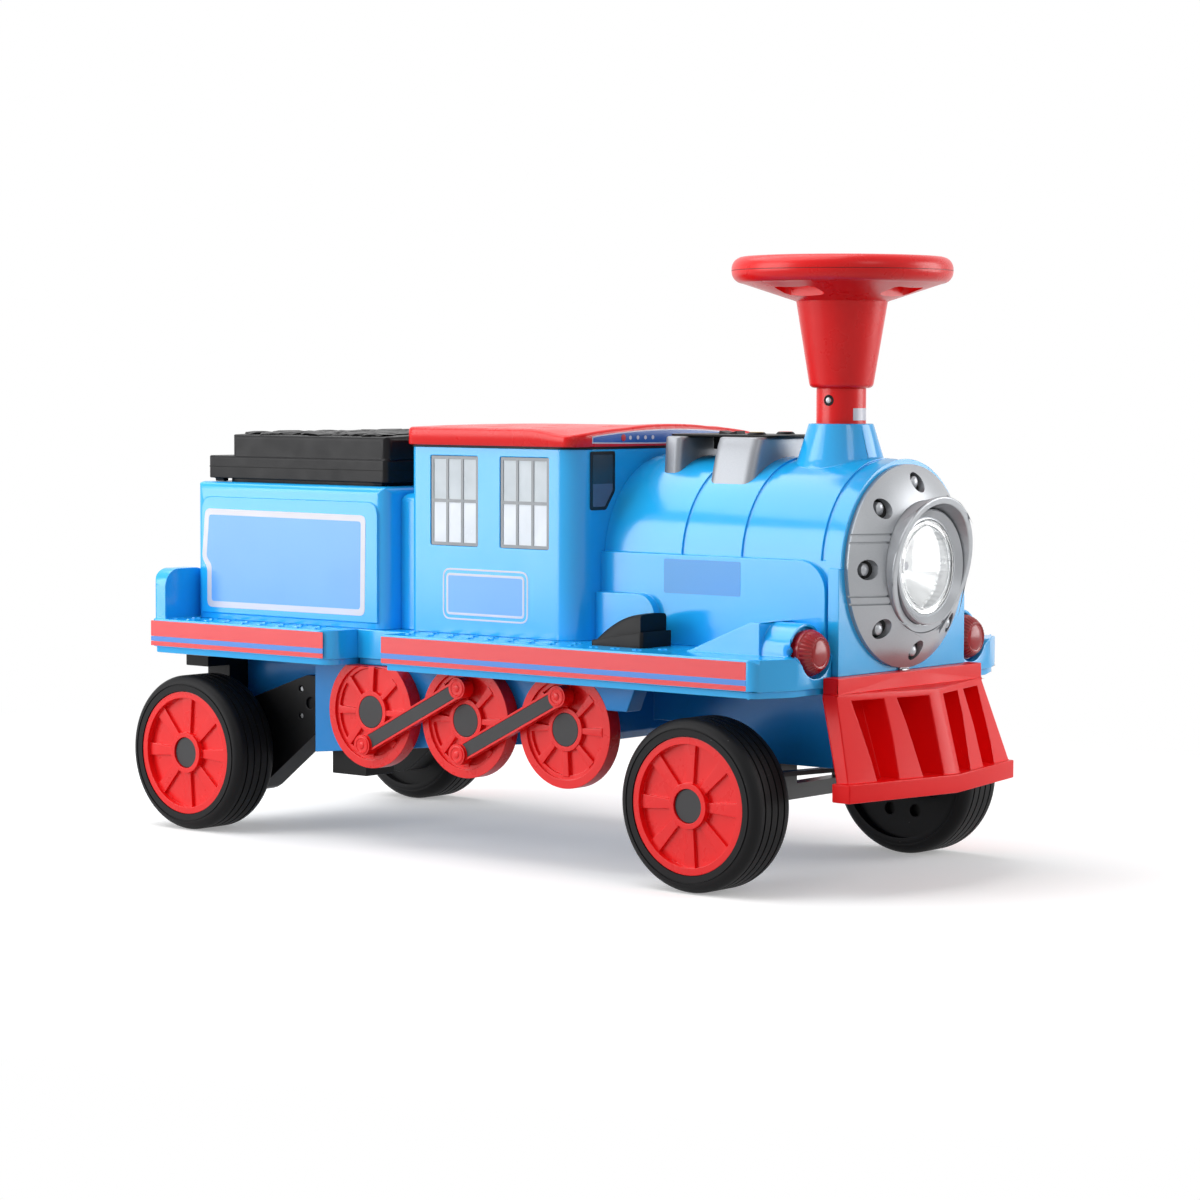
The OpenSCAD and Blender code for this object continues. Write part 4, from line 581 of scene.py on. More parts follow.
# main mouldings with eased edges: material, slot, edge in mm and nodes
mouldings = [
    (blueAbs, "blue_shell", 1.0, ["front_deck", "rear_deck"]),
    # the tub's deeper blue is painted shade under the boards
    (tubBlueShaded, "blue_shell", 1.0, ["lower_chassis"]),
    (blueAbs, "blue_shell", 1.0, ["tender_shell", "link_box"]),
    (blueAbs, "blue_shell", 0.8, ["cab_shell"]),
    (blueAbs, "blue_shell", 0.9, ["boiler_shell"]),
    (redGrille, "red_shell", 1.0, ["cowcatcher"]),
    (redAbs, "red_shell", 0.5, ["driving_wheels_right", "driving_wheels_left"]),
    (redAbs, "red_shell", 0.25, ["coupling_rods"]),
    (redAbs, "red_shell", 0, ["steering_wheel"]),
    (redAbs, "red_shell", 0.6, ["steering_column"]),
    (blackPp, "black_plastic", 0.4, ["control_panel"]),
    (blackPp, "black_plastic", 0.8, ["gearbox_right", "gearbox_left", "underside_block"]),
    (coalPp, "black_plastic", 1.0, ["tender_lid"]),
    (silver, "silver_plastic", 0, ["smokebox_door"]),
    (silver, "silver_plastic", 1.0, ["lamp_hood"]),
    (blackPp, "black_plastic", 0.8, ["horn_button", "music_button"]),
    (blackPp, "black_plastic", 0.7, ["direction_switch"]),
    (greyVinyl, "grey_plastic", 0.6, ["driving_wheel_caps"]),
    (greyVinyl, "grey_plastic", 0.3, ["rod_inlays"]),
]
# pieces that aren't called after their node
ownNames = {
    "front_deck": "frontRunningBoard", "rear_deck": "rearRunningBoard", "lower_chassis": "lowerChassisShell",
    "tender_shell": "tenderBox", "cab_shell": "cabBox", "boiler_shell": "boilerBarrel", "steering_wheel": "steeringRim",
    "cowcatcher": "cowcatcherGrille", "gearbox_right": "gearCaseRight", "gearbox_left": "gearCaseLeft",
    "direction_switch": "directionRocker",
}
roadWheel = [("hub", "wheelCentre", redAbs, "red_shell", 0.5), ("tyre", "tyre", tyreBlack, "tyre_black", 0),
             ("cap", "hubCap", greyVinyl, "grey_plastic", 0.6)]


def camel(words):
    return words[0] + "".join(word.capitalize() for word in words[1:])


for corner in ("front", "rear"):
    for side in ("right", "left"):
        for kind, name, material, slot, edge in roadWheel:
            nodeName = "_".join((corner, kind, side))
            mouldings.append((material, slot, edge, [nodeName]))
            ownNames[nodeName] = camel((name, corner, side))

# edges softer than the rest: a test on an edge's middle and direction, the width in mm and the steps
softer = {
    "front_deck": (lambda p, d: abs(d.z) > 0.95 and p.x > 340 and abs(p.y) > 140, 7.0, 4),
    "steering_wheel": (lambda p, d: p.z < 443, 4.0, 4),
    "lamp_hood": (lambda p, d: p.x > 393 and math.hypot(p.y, p.z - boiler["axisZ"]) > 59, 2.2, 5),
}
# large faces with many cut-outs break when merged, so these keep the solid's own triangles
unmerged = ("front_deck", "rear_deck", "lower_chassis", "tender_shell", "link_box", "tender_lid")
for material, slot, edge, names in mouldings:
    for nodeName in names:
        easedPiece(nodeName, ownNames.get(nodeName) or camel(nodeName.split("_")), material, edge,
                   [softer[nodeName]] if nodeName in softer else [], nodeName not in unmerged)

finishes = [
    (blackPp, ("roof_seal", "battery", "speaker")), (mirror, ("lamp_reflector",)), (plateWhite, ("lamp_led",)),
    (paintedSteel, ("tie_rod", "front_axle_beam", "knuckle_right", "knuckle_left")),
    (steel, ("rear_axle", "drive_motors", "steering_shaft", "lid_hinge_pins")),
    (bushNylon, ("steering_bushes",)), (boardGreen, ("control_board",)),
]
for material, names in finishes:
    for nodeName in names:
        nodes[nodeName].data.materials.clear()
        nodes[nodeName].data.materials.append(material)
print("mouldings eased and finished")

# stuck-on films: from just off the face to their own thickness
film = {"blue": (0.02, 0.22), "white": (0.02, 0.24)}

# printed stripes along both boards: red, a blue line, red
stripes = {
    "edgeY": 190, "corner": 0.8, "runs": [(-405, -165), (-88.5, 342.5)],
    "bands": [(stripeRed, "red_shell", 191.5, 207), (lineBlue, "blue_shell", 186.7, 191.3),
              (stripeRed, "red_shell", 182, 186.5)],
}
for material, slot, low, high in stripes["bands"]:
    bm = bmesh.new()
    for side in (-1, 1):
        for start, end in stripes["runs"]:
            strip = rounded(rectangle(start, end, low, high), stripes["corner"], steps=2)
            addSheet(bm, onSide(side, stripes["edgeY"]), strip, *film["blue"])
    finishPiece(bm, "boardStripe%d" % low, [material], "chassis")

# sign plate on the tender: a blue field in a white border, left bare, cut round the corner wall
sign = {
    "y": 151.5, "border": 6.0, "corner": 7.0, "innerCorner": 3.5,
    "outline": [(-366.3, 319.2), (-370.9, 269.1), (-363.6, 260.5), (-363.8, 220.7), (-146.5, 221.5), (-145.2, 318.2)],
}
# name plate on the cab and number field on the side tank: framed or plain blue, left bare
plate = {"y": 137, "box": (-58, 48.6, 222.5, 271), "corner": 9.0, "leastCorner": 2, "lines": (0, 1.6, 4.6, 6.8)}
field = {"y": 101, "box": (181, 268, 256, 287), "corner": 1.5}
whiteSheets, blueSheets = bmesh.new(), bmesh.new()
for side in (-1, 1):
    place = onSide(side, sign["y"])
    inner = rounded(inset(sign["outline"], sign["border"]), sign["innerCorner"])
    addSheet(whiteSheets, place, rounded(sign["outline"], sign["corner"]), *film["white"], inner)
    addSheet(blueSheets, place, inner, *film["blue"])
    place = onSide(side, plate["y"])
    outer = rectangle(*plate["box"])
    loops = [rounded(inset(outer, d), max(plate["corner"] - d, plate["leastCorner"])) for d in plate["lines"]]
    addSheet(whiteSheets, place, loops[0], *film["white"], loops[1])
    addSheet(whiteSheets, place, loops[2], *film["white"], loops[3])
    addSheet(blueSheets, place, loops[3], *film["blue"])
    number = rounded(rectangle(*field["box"]), field["corner"])
    addSheet(blueSheets, onSide(side, field["y"]), number, *film["blue"], index=1)
finishPiece(whiteSheets, "plateBorders", [plateWhite], "chassis")
finishPiece(blueSheets, "plateFields", [plateBlue, numberBlue], "chassis")
print("stripes and plates laid")

# roof that is the seat: a low crowned lid with a raised brow over its front and rows of shallow oval hollows
roof = {
    "rearX": -105, "frontX": 107, "half": 141, "cornerX": 14, "cornerY": 23, "rearCorner": 12, "bow": 1.2,
    "bottom": 387, "foot": 0.8, "round": 3.6, "top": 405.2, "crown": 1.8,
    "brow": 2.2, "browHalf": 62, "browFrom": 50, "browRun": 50, "drop": 2.3, "dropFrom": 40, "dropRun": 62,
    "hollow": (19, 11, 1.9), "hollowStep": 62, "hollowCount": 3,
    "hollowRows": [(-104, -81), (-52, -50), (0, -81), (52, -50), (104, -81)], "rings": 40, "lipSteps": 6,
}


def roofTop(x, y):
    near = min(max((x - roof["browFrom"]) / roof["browRun"], 0), 1)
    near = near * near * (3 - 2 * near)
    brow = roof["brow"] * max(1 - (y / roof["browHalf"]) ** 2, 0)
    brow -= roof["drop"] * (max(abs(y) - roof["dropFrom"], 0) / roof["dropRun"]) ** 2
    z = roof["top"] - roof["crown"] * (y / roof["half"]) ** 2 + near * brow
    long, wide, deep = roof["hollow"]
    for rowY, startX in roof["hollowRows"]:
        for k in range(roof["hollowCount"]):
            reach = math.hypot((x - startX - k * roof["hollowStep"]) / long, (y - rowY) / wide)
            if reach < 1:
                z -= deep * (1 - reach * reach) ** 2
    return z


# the roof's front is bowed a little between its rounded corners
def roofFront(y):
    return roof["frontX"] + roof["bow"] * (1 - (y / (roof["half"] - roof["cornerY"])) ** 2)


def quarter(x, y, alongX, alongY, steps):
    angles = [math.pi / 2 * k / steps for k in range(steps + 1)]
    return [(x + alongX * (1 - math.sin(a)), y + alongY * (1 - math.cos(a))) for a in angles]


def roofOutline():
    x0, x1, half = roof["rearX"], roof["frontX"], roof["half"]
    rearEnd, frontEnd, edge = x0 + roof["rearCorner"], x1 - roof["cornerX"], half - roof["cornerY"]
    count, frontCount = 40, 48
    right = quarter(x0, -half, roof["rearCorner"], roof["rearCorner"], steps=8)[::-1]
    right += [(rearEnd + (frontEnd - rearEnd) * k / count, -half) for k in range(1, count)]
    right += quarter(x1, -half, -roof["cornerX"], roof["cornerY"], steps=16)
    front = [(roofFront(y), y) for y in [-edge * (1 - 2 * k / frontCount) for k in range(1, frontCount)]]
    left = [(x, -y) for x, y in right[::-1]]
    rear = [(x0, (half - roof["rearCorner"]) * (1 - 2 * k / count)) for k in range(1, count)]
    return right + front + left + rear


bm = bmesh.new()
outline = roofOutline()
middle = (roof["rearX"] + roof["frontX"]) / 2
inner = inset(outline, roof["round"])
rows = [[(x, y, roof["bottom"]) for x, y in inset(outline, roof["foot"])],
        [(x, y, roof["bottom"] + roof["foot"]) for x, y in outline]]
for k in range(roof["lipSteps"] + 1):
    a = math.pi / 2 * k / roof["lipSteps"]
    share, down = 1 - math.cos(a), roof["round"] * (1 - math.sin(a))
    rows.append([(x + (u - x) * share, y + (v - y) * share, roofTop(u, v) - down)
                 for (x, y), (u, v) in zip(outline, inner)])
for k in range(1, roof["rings"]):
    share = 1 - k / roof["rings"]
    flat = [(middle + (u - middle) * share, v * share) for u, v in inner]
    rows.append([(x, y, roofTop(x, y)) for x, y in flat])
addLoft(bm, rows)
roofLid = finishPiece(bm, "roofSeat", [redAbs], "chassis", crease=50)
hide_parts("roof_seat")

# band on the roof's front: blue in a white border, with a red and four white dots on each half
band = {
    "halfWidth": 115, "endLow": 390.4, "midLow": 389.2, "endHigh": 396.8, "midHigh": 402.8, "border": 1.1,
    "white": (-0.6, 0.25), "blue": (0.1, 0.35), "dotZ": 395.2, "farShift": 92, "redY": -71, "redDot": (3.2, 0.3, 0.6),
    "whiteYs": (-61, -50, -39, -28), "whiteDot": (1.9, 0.3, 0.5),
}


def onFascia(y, z, lift):
    return (roofFront(y) + lift, y, z)


def fasciaOutline(shrink, steps=36):
    half = band["halfWidth"] - shrink
    ys = [half * (2 * i / steps - 1) for i in range(steps + 1)]
    bend = [(y / band["halfWidth"]) ** 2 for y in ys]
    low = [(y, band["midLow"] + (band["endLow"] - band["midLow"]) * b + shrink) for y, b in zip(ys, bend)]
    top = [(y, band["midHigh"] - (band["midHigh"] - band["endHigh"]) * b - shrink) for y, b in zip(ys, bend)]
    return low + top[::-1]


def addDot(bm, y, radius, low, high, steps=20):
    circle = [(y + c, band["dotZ"] + s) for c, s in circleOf(radius, steps)]
    addSheet(bm, onFascia, circle, low, high)


whiteBand, blueBand, redDots = bmesh.new(), bmesh.new(), bmesh.new()
addStrip(whiteBand, onFascia, fasciaOutline(0), *band["white"])
addStrip(blueBand, onFascia, fasciaOutline(band["border"]), *band["blue"])
for shift in (0, band["farShift"]):
    for y in band["whiteYs"]:
        addDot(whiteBand, y + shift, *band["whiteDot"])
    addDot(redDots, band["redY"] + shift, *band["redDot"])
finishPiece(whiteBand, "roofBandWhite", [plateWhite], "chassis")
finishPiece(blueBand, "roofBandBlue", [bandBlue], "chassis")
finishPiece(redDots, "roofBandRedDots", [dotRed], "chassis")

# side windows: six panes in a grey grid, set back in the cab wall, the upper row greyer than the lower
window = {"y": 136, "depth": 0.55, "back": 134.6, "centres": (-44, 43.5), "width": 59.4, "low": 292.3, "height": 84.4,
          "bar": 3.0, "panes": (3, 2)}
glass = {"bar": 0, "upper": 1, "lower": 2, "frame": 3, "dark": 4, "mid": 5}


def gridSteps(start, length, count):
    size = (length - (count + 1) * window["bar"]) / count
    return [start + k * (size + window["bar"]) + e for k in range(count + 1) for e in (0, window["bar"])]


bm = bmesh.new()
for side in (-1, 1):
    place = onSide(side, window["y"])
    for centre in window["centres"]:
        uSteps = gridSteps(centre - window["width"] / 2, window["width"], window["panes"][0])
        vSteps = gridSteps(window["low"], window["height"], window["panes"][1])
        for i in range(len(uSteps) - 1):
            for j in range(len(vSteps) - 1):
                pane = i % 2 == 1 and j % 2 == 1
                cell = rectangle(uSteps[i], uSteps[i + 1], vSteps[j], vSteps[j + 1])
                corners = vertsAt(bm, [place(u, v, -window["depth"] if pane else 0) for u, v in cell])
                tint = glass["upper" if j > 2 else "lower"] if pane else glass["bar"]
                bm.faces.new(corners).material_index = tint
                if pane:
                    joinRings(bm, [vertsAt(bm, [place(u, v, 0) for u, v in cell]), corners])
        edge = [(u, vSteps[0]) for u in uSteps[:-1]] + [(uSteps[-1], v) for v in vSteps[:-1]]
        edge += [(u, vSteps[-1]) for u in uSteps[:0:-1]] + [(uSteps[0], v) for v in vSteps[:0:-1]]
        rim, rear = (vertsAt(bm, [place(u, v, lift) for u, v in edge]) for lift in (0, window["back"] - window["y"]))
        joinRings(bm, [rim, rear])
        bm.faces.new(rear)

# front panes beside the boiler: a black frame, a dark upper and a paler lower half
frontPane = {"x": 106, "y": 99, "z": 356, "halfW": 17.5, "halfH": 27, "cut": (13, 17), "frame": 3.0, "split": -3,
             "corner": 2.5, "holeCorner": 1.2, "frameFilm": (0.02, 0.9), "paneFilm": (0.02, 0.6)}
for side in (-1, 1):
    place = lambda u, v, lift, side=side: (frontPane["x"] + lift, side * (frontPane["y"] - u), frontPane["z"] + v)
    w, h, split = frontPane["halfW"], frontPane["halfH"], frontPane["split"]
    outline = [(-w, -h), (w - frontPane["cut"][0], -h), (w, -h + frontPane["cut"][1]), (w, h), (-w, h)]
    hole = inset(outline, frontPane["frame"])
    addSheet(bm, place, rounded(outline, frontPane["corner"]), *frontPane["frameFilm"],
             rounded(hole, frontPane["holeCorner"]), glass["frame"])
    near, far = (hole[0][0], split), (hole[2][0], split)
    addSheet(bm, place, [near, far, hole[3], hole[4]], *frontPane["paneFilm"], index=glass["dark"])
    addSheet(bm, place, [*hole[:3], far, near], *frontPane["paneFilm"], index=glass["mid"])
panes = finishPiece(bm, "cabWindows", [barGrey, paneGrey, paneWhite, frameBlack, paneDark, paneMid], "chassis")
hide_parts("window_inserts")
print("roof band and windows laid")

# head lamp: a silver bezel, a stepped clear lens and a ribbed bright collar behind it
lamp = {
    "x": 394.6, "steps": 96,
    "bezel": [(51.5, 0), (51.5, 9), (50.2, 10), (44.5, 5.2), (43.6, 5.6), (42.6, 5.6), (42.0, 4.8), (42.0, 0),
              (51.5, 0)],
    "lensFront": [(41.8, 2.2), (41.8, 5.0), (40.6, 5.8), (39.4, 5.8), (38.8, 4.9), (37.2, 4.9), (36.4, 5.9), (32, 7.6),
                  (24, 9.4), (14, 10.6), (6, 11.1), (0, 11.2)],
    "lensBack": [(41.8, 2.2), (37, 2.4), (32, 4.4), (24, 6.2), (14, 7.4), (6, 7.9), (0, 8.0)],
    "collar": [(41.6, 1.6), (38.6, 1.2), (37.4, -8), (36.2, -9), (36.2, -10.5), (41.6, -10.5), (41.6, 1.6)],
}


def onNose(a, b, h):
    return (lamp["x"] + h, a, boiler["axisZ"] + b)


turnedPiece("lampBezel", onNose, [lamp["bezel"]], silver, "chassis", "silver_plastic", lamp["steps"])
lens = turnedPiece("lampLens", onNose, [lamp["lensFront"], lamp["lensBack"]], clearLens, "chassis", "clear_lens",
                   lamp["steps"], crease=25)
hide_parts("lamp_lens")
turnedPiece("lampCollar", onNose, [lamp["collar"]], mirror, "chassis", "mirror_plastic", steps=160,
            ribs=40, ribDepth=0.5, ribbed=(2, 3))

# buffer lamps: ribbed red lenses with a flat middle
buffer = {
    "x": 352.9, "y": 122, "z": 212,
    "profile": [(0, 0), (19.3, 0), (19.3, 4), (20.5, 4.8), (20.5, 8.8), (19.9, 9.6), (19.2, 10.2), (18.4, 13.4),
                (14.4, 19.0), (13.4, 19.6), (12.6, 19.0), (11.6, 18.8), (10.8, 19.4), (8, 19.9), (4, 20.2), (0, 20.3)],
}
bm = bmesh.new()
for side in (-1, 1):
    place = lambda a, b, h, side=side: (buffer["x"] + h, side * buffer["y"] + a, buffer["z"] + b)
    addLathe(bm, place, buffer["profile"], steps=240, ribs=30, ribDepth=0.4, ribbed=(6, 7, 8))
lenses = finishPiece(bm, "bufferLenses", [redLens], "chassis", crease=30)
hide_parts("buffer_lamps")

# small metal latch under the smokebox door: a plate with a pin across it
latch = {"box": (-7, 7, 187.2, 193.4), "corner": 1.5, "thick": 2.2, "pinZ": 190.3,
         "pin": [(0, -6), (1.4, -6), (1.6, -5.7), (1.6, 5.7), (1.4, 6), (0, 6)]}
bm = bmesh.new()
outline = rounded(rectangle(*latch["box"]), latch["corner"])
addSheet(bm, lambda u, v, lift: (boiler["faceX"] + lift, u, v), outline, 0.0, latch["thick"])
addLathe(bm, lambda a, b, h: (boiler["faceX"] + latch["thick"] + b, h, latch["pinZ"] + a), latch["pin"], steps=20)
finishPiece(bm, "doorLatch", [steel], "chassis")

# shade in the pockets round the door bolts: thin rings that follow the domed floor
pocket = {"count": 8, "circle": 75, "in": 5.7, "out": 8.8, "ball": 148.08, "drop": 120.33, "lift": 0.15, "thick": 0.1}
bm = bmesh.new()
for middle in circleOf(pocket["circle"], pocket["count"]):
    rows = []
    for radius, lift in ((pocket["in"], 0), (pocket["out"], 0), (pocket["out"], 1), (pocket["in"], 1)):
        ball = pocket["ball"] + pocket["lift"] + lift * pocket["thick"]
        flat = [Vector(middle) + Vector(turn) for turn in circleOf(radius, steps=24)]
        rows.append([(boiler["faceX"] + math.sqrt(ball ** 2 - at.length_squared) - pocket["drop"], at.x,
                      boiler["axisZ"] + at.y) for at in flat])
    addHoop(bm, rows)
finishPiece(bm, "doorPocketShade", [blackAndPaintedShade], "chassis")

# moulding seam round the steering wheel's rim and a bare white tag on the column
wheel = {
    "x": 304.7, "seamZ": 547.5, "seam": [(99.2, -0.55), (100.03, -0.35), (100.03, 0.35), (99.2, 0.55), (99.2, -0.55)],
    "columnR": 22.5, "tag": (-26, 30, 413, 424), "tagSteps": 14, "tagFilm": (0.03, 0.2),
}
turnedPiece("rimSeam", lambda a, b, h: (wheel["x"] + a, b, wheel["seamZ"] + h), [wheel["seam"]], seamRed, "steering",
            "red_shell", steps=128)


def onColumn(turn, z, lift):
    a = math.radians(turn)
    r = wheel["columnR"] + lift
    return (wheel["x"] + r * math.cos(a), r * math.sin(a), z)


bm = bmesh.new()
start, end, low, high = wheel["tag"]
turns = [start + (end - start) * k / wheel["tagSteps"] for k in range(wheel["tagSteps"] + 1)]
addStrip(bm, onColumn, [(turn, low) for turn in turns] + [(turn, high) for turn in turns[::-1]], *wheel["tagFilm"])
finishPiece(bm, "columnTag", [plateWhite], "steering")
print("lamp and steering details made")

# console pods: two rounded silver saddles over the boiler, hollow under the panel where the buttons sit
pods = {
    "top": 397, "foot": 336, "topHalf": 51, "lip": 2.2, "lipSteps": 4, "sideSteps": 12,
    "well": 14, "wellFloor": 385, "wellWall": 4, "wellCorner": 4, "flare": (1.3, 1.15, 0.8),
    "saddles": [{"x": (140.1, 160.1), "base": 54.5, "corner": 7, "hollow": False},
                {"x": (201, 251), "base": 65.5, "corner": 10, "hollow": True}],
}


def podRing(x0, x1, half, corner, z):
    return [(u, v, z) for u, v in rounded(rectangle(x0, x1, -half, half), corner, steps=6)]


bm = bmesh.new()
top, foot, topHalf, lip, wall = (pods[k] for k in ("top", "foot", "topHalf", "lip", "wellWall"))
rate, most, bend = pods["flare"]
for saddle in pods["saddles"]:
    x0, x1 = saddle["x"]
    corner = saddle["corner"]
    levels = (pods["wellFloor"], top) if saddle["hollow"] else ()
    rows = [podRing(x0 + wall, x1 - wall, topHalf - pods["well"], pods["wellCorner"], z) for z in levels]
    for k in range(pods["lipSteps"] + 1):
        a = math.pi / 2 * (1 - k / pods["lipSteps"])
        shrink = lip * (1 - math.cos(a))
        rows.append(podRing(x0 + shrink, x1 - shrink, topHalf - shrink, corner, top - lip * (1 - math.sin(a))))
    for k in range(1, pods["sideSteps"] + 1):
        t = k / pods["sideSteps"]
        half = topHalf + (saddle["base"] - topHalf) * min(t * rate, most) ** bend
        rows.append(podRing(x0, x1, half, corner, top - lip + (foot - top + lip) * t))
    addLoft(bm, rows)
# the pods take the darker silver lacquer, which is painted shade
saddles = finishPiece(bm, "consolePods", [silverPodShaded], "chassis")
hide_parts("console_pods")

# foot pedal: a low sloping tray and an arched tread that dips into it
pedal = {
    "x": (139, 199), "y": (-155, -111), "deck": 209, "low": 4.5, "high": 14.5, "wall": 2.4, "corner": 3.5,
    "brim": 0.5, "brimDrop": 0.7, "floor": 1.5, "tread": (142.2, 194.5), "inset": 3.3, "rear": 6.0,
    "rise": 24.5, "bend": 0.9, "crown": 1.2, "edge": 3.0, "edgeDrop": 0.8, "foot": 3.6, "footRise": 7.2,
    "footFrom": 0.16, "least": 0.4, "steps": (28, 24), "grooves": (6, 9, 12, 15, 18), "grooveDeep": 0.5,
    "grooved": (0.2, 0.95),
}
x0, x1 = pedal["x"]
y0, y1 = pedal["y"]
deck, edge = pedal["deck"], pedal["edge"]
flat = rounded(rectangle(x0, x1, y0, y1), pedal["corner"], steps=4)


def trayRow(outline, height):
    return [(u, v, deck + height((u - x0) / (x1 - x0))) for u, v in outline]


def traySlope(share):
    return pedal["low"] + (pedal["high"] - pedal["low"]) * share


bm = bmesh.new()
hollow = inset(flat, pedal["wall"])
addLoft(bm, [trayRow(flat, lambda share: 0), trayRow(flat, lambda share: traySlope(share) - pedal["brimDrop"]),
             trayRow(inset(flat, pedal["brim"]), traySlope), trayRow(hollow, traySlope),
             trayRow(hollow, lambda share: pedal["floor"])])
tray = finishPiece(bm, "pedalTray", [blackPp], nodes["pedal_base"]["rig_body"])
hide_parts("pedal_base")
bm = bmesh.new()
half, centre = (y1 - y0) / 2 - pedal["inset"], (y1 + y0) / 2
start, end = pedal["tread"]
longSteps, wideSteps = pedal["steps"]
rows = []
for i in range(longSteps + 1):
    t = i / longSteps
    x = start + (end - start) * t
    top = deck + pedal["rear"] + pedal["rise"] * math.sin(t * math.pi / 2) ** pedal["bend"]
    foot = deck + pedal["foot"] + pedal["footRise"] * max(t - pedal["footFrom"], 0) / (1 - pedal["footFrom"])
    row = [(x, centre - half, foot)]
    for k in range(wideSteps + 1):
        v = half * (2 * k / wideSteps - 1)
        over = max(abs(v) - (half - edge), 0) / edge
        drop = pedal["crown"] * (v / half) ** 2 + edge * pedal["edgeDrop"] * (1 - math.sqrt(max(1 - over * over, 0)))
        if k in pedal["grooves"] and pedal["grooved"][0] < t < pedal["grooved"][1]:
            drop += pedal["grooveDeep"]
        row.append((x, centre + v, max(top - drop, foot + pedal["least"])))
    rows.append(row + [(x, centre + half, foot)])
addLoft(bm, rows)
tread = finishPiece(bm, "pedalTread", [blackPp], nodes["pedal"]["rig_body"], crease=46)
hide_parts("pedal")

# coloured discs let into the two push buttons
buttons = {"x": 226, "y": 22, "disc": [(0, -0.3), (6.2, -0.3), (6.2, 0.08), (5.8, 0.16), (0, 0.16)]}
for side, name, material, slot in ((1, "horn", redAbs, "red_shell"), (-1, "music", yellowAbs, "yellow_plastic")):
    nodeName = name + "_button"
    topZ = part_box(nodeName)[1][2] / mm
    turnedPiece(name + "Disc", lambda a, b, h: (buttons["x"] + a, side * buttons["y"] + b, topZ + h),
                [buttons["disc"]], material, nodes[nodeName]["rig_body"], slot, steps=40)

# black backing behind the spokes of each road wheel
backing = {"axleX": {"front": 278, "rear": -358}, "axleZ": 77, "y": 148.2,
           "disc": [(14.2, 0), (60.6, 0), (60.6, 0.5), (45, 0.9), (30, 0.9), (14.2, 0.5), (14.2, 0)]}
for corner, axleX in backing["axleX"].items():
    for side, name in ((-1, "right"), (1, "left")):
        turnedPiece(camel(("wheelBacking", corner, name)),
                    lambda a, b, h: (axleX + a, side * (backing["y"] + h), backing["axleZ"] + b), [backing["disc"]],
                    blackAndPaintedShade, nodes["%s_hub_%s" % (corner, name)]["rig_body"], "tyre_black", steps=72)

# turned rings on the rod pins, stamped on both sides
pins = {"drivers": (-128, -6, 116), "z": 131, "crank": 31, "faceY": 175.4,
        "ring": [(0, 0), (8.6, 0), (8.4, 0.5), (7.6, 0.8), (6.8, 0.8), (6.1, 0.25), (3.6, 0.2), (3.0, 0.8), (1.8, 1.1),
                 (0, 1.15)]}
bm = bmesh.new()
addLathe(bm, lambda a, b, h: (a / mm, b / mm, h / mm), pins["ring"], steps=28)
ringMesh = stampOf(bm, "pinRing")
sides = ((-1, "Right"), (1, "Left"))
for side, name in sides:
    spots = []
    for k in (0, 1):
        spots.append((pins["drivers"][k], side * pins["faceY"], pins["z"] - pins["crank"]))
        spots.append((pins["drivers"][k + 1], side * pins["faceY"], pins["z"] + pins["crank"]))
    stampPiece("rodPinRings" + name, spots, ringMesh.copy(), redAbs, "chassis", size=mm,
               facing=(-side * math.pi / 2, 0, 0))


# a cross-headed pan screw of radius 1, pointing up Z
def screwStamp(name, height=0.45, taper=0.86, cross=0.16, reach=0.62, crossLift=0.05, steps=24):
    bm = bmesh.new()
    arms = [(reach, -cross), (reach, cross), (cross, cross), (cross, reach), (-cross, reach), (-cross, cross),
            (-reach, cross), (-reach, -cross), (-cross, -cross), (-cross, -reach), (cross, -reach), (cross, -cross)]
    addLoft(bm, [[(x, y, z) for x, y in circleOf(r, steps)] for r, z in ((1, 0), (taper, height))], 1)
    addLoft(bm, [[(x, y, height + lift) for x, y in arms] for lift in (-crossLift, crossLift)], 1)
    return stampOf(bm, name)


# screws in the gear cases and in the steering column's well
screws = {"motor": (-246, 129), "ring": 19, "angles": (45, 135, 225, 315), "faceY": 121.6, "caseR": 2.7,
          "wellZ": 431, "wellTurn": -85,
          "well": [(0, -0.1), (5.1, -0.1), (4.9, 0.3), (4.4, 0.35), (4.1, 0.06), (0, 0.06)],
          "head": [(0, 0.05), (2.6, 0.05), (2.6, 0.5), (2.0, 0.8), (0.9, 0.85), (0.7, 0.4), (0, 0.4)]}
for side, name in sides:
    around = [math.radians(a) for a in screws["angles"]]
    spots = [(screws["motor"][0] + screws["ring"] * math.cos(a), side * screws["faceY"],
              screws["motor"][1] + screws["ring"] * math.sin(a)) for a in around]
    stampPiece("gearCaseScrews" + name, spots, screwStamp("caseScrew"), steel, "chassis",
               size=screws["caseR"] * mm, facing=(-side * math.pi / 2, 0, 0))


def onWell(a, b, h):
    return onColumn(screws["wellTurn"] + math.degrees(a / wheel["columnR"]), screws["wellZ"] + b, h)


# the well is a thin dark disc round the screw: painted shade of a recess
turnedPiece("columnScrewWell", onWell, [screws["well"]], blackAndPaintedShade, "steering", "black_plastic", steps=32)
turnedPiece("columnScrew", onWell, [screws["head"]], steel, "steering", "steel", steps=24)

# parting line round the lower tier of the lid
parting = {"x": (-374, -128.4), "half": 141, "corner": 6, "z": 361, "halfWidth": 0.4, "lift": 0.12, "deep": 0.6}
bm = bmesh.new()
loop = rounded(rectangle(*parting["x"], -parting["half"], parting["half"]), parting["corner"], steps=6)
outer, inner = inset(loop, -parting["lift"]), inset(loop, parting["deep"])
addHoop(bm, [[(u, v, parting["z"] + z * parting["halfWidth"]) for u, v in line]
             for line, z in ((inner, -1), (outer, -1), (outer, 1), (inner, 1))])
finishPiece(bm, "lidPartingLine", [blackAndPaintedShade], "tender_lid")
print("pedal, wheel and lid details made")

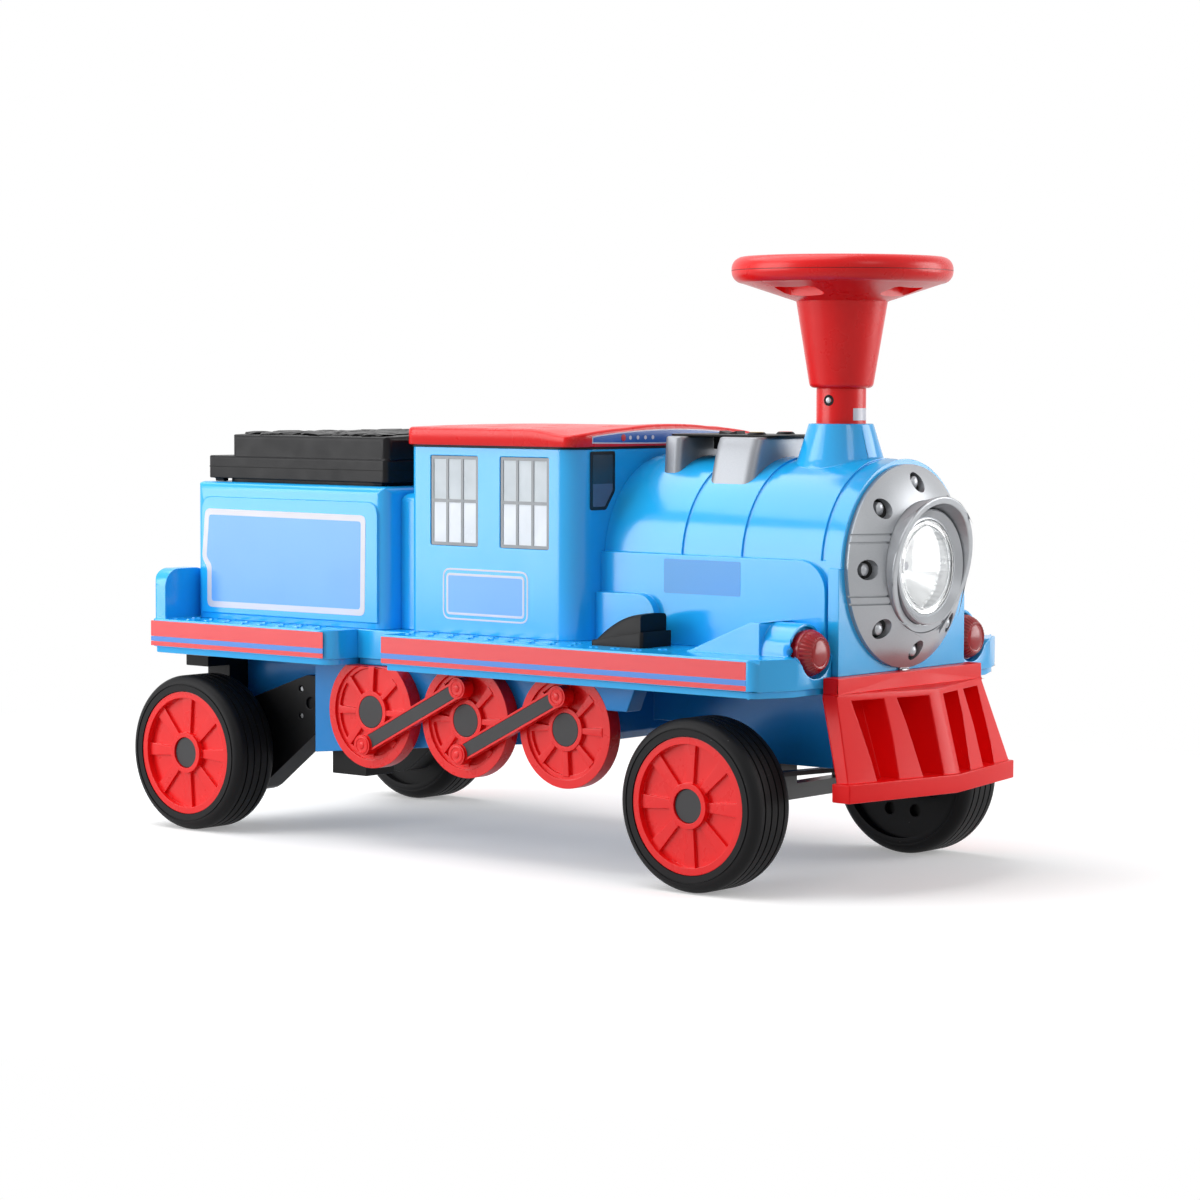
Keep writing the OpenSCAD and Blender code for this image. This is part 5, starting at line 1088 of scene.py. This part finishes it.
# moulded stars on the boards: two staggered rows for grip
stars = {"z": 208.98, "step": 25, "size": 4.8, "lift": 0.95, "rows": [(-396, -172, (160, 179)), (-80, 225, (151, 172))],
         "pedal": (128, 208, 160), "points": 5, "valley": 0.45, "taper": 0.86, "peak": 1.25}
bm = bmesh.new()
count = 2 * stars["points"]
ring = [(stars["valley"] if k % 2 else 1.0, math.pi * k / stars["points"]) for k in range(count)]
foot, crown = (vertsAt(bm, [(share * r * math.cos(a), share * r * math.sin(a), z) for r, a in ring], 1)
               for share, z in ((1, 0), (stars["taper"], 1)))
peak = bm.verts.new((0, 0, stars["peak"]))
bm.faces.new(foot)
joinRings(bm, [foot, crown])
for k in range(count):
    bm.faces.new((crown[k - 1], crown[k], peak))
spots = []
for start, end, ys in stars["rows"]:
    for row, y in enumerate(ys):
        x = start + row * stars["step"] / 2
        while x <= end:
            for side in (-1, 1):
                nearPedal = side < 0 and stars["pedal"][0] < x < stars["pedal"][1] and y < stars["pedal"][2]
                if not nearPedal:
                    spots.append((x, side * y, stars["z"]))
            x += stars["step"]
stampPiece("boardStars", spots, stampOf(bm, "star"), blueAbs, "chassis", size=stars["size"] * mm,
           flatness=stars["lift"] / stars["size"])

# coal on the tender lid: low lumps moulded in its top, roughened and scattered by crossing waves
coal = {"x": (-322, -150), "y": (-116, 116), "z": 394.2, "step": 23, "size": 16, "rise": 0.17, "spread": 0.25,
        "turn": 6.28, "seed": 4, "cut": -0.25, "wobble": 6, "fall": 0.8}
bm = bmesh.new()
bmesh.ops.create_icosphere(bm, subdivisions=2, radius=1.0)
for v in bm.verts:
    a, b, c = v.co
    v.co *= 1 + 0.13 * math.sin(5.1 * a + 2.3 * b) + 0.11 * math.sin(4.3 * b - 3.7 * c + 1.1)
bmesh.ops.delete(bm, geom=[f for f in bm.faces if f.calc_center_median().z < coal["cut"]], context="FACES")
bmesh.ops.edgeloop_fill(bm, edges=[e for e in bm.edges if e.is_boundary])
spots = []
rows, columns = (int((coal[k][1] - coal[k][0]) / coal["step"]) for k in "xy")
for i in range(rows + 1):
    for j in range(columns + 1):
        spots.append((coal["x"][0] + i * coal["step"] + coal["wobble"] * math.sin(3.1 * i + 1.7 * j),
                      coal["y"][0] + j * coal["step"] + coal["wobble"] * math.sin(2.3 * j - 1.9 * i),
                      coal["z"] - coal["fall"] * abs(j - columns / 2) / columns))
stampPiece("lidCoal", spots, stampOf(bm, "coalLump"), coalPp, "tender_lid", size=coal["size"] * mm,
           sizeSpread=coal["spread"], turnSpread=coal["turn"], flatness=coal["rise"], seed=coal["seed"])
print("stars and coal stamped")
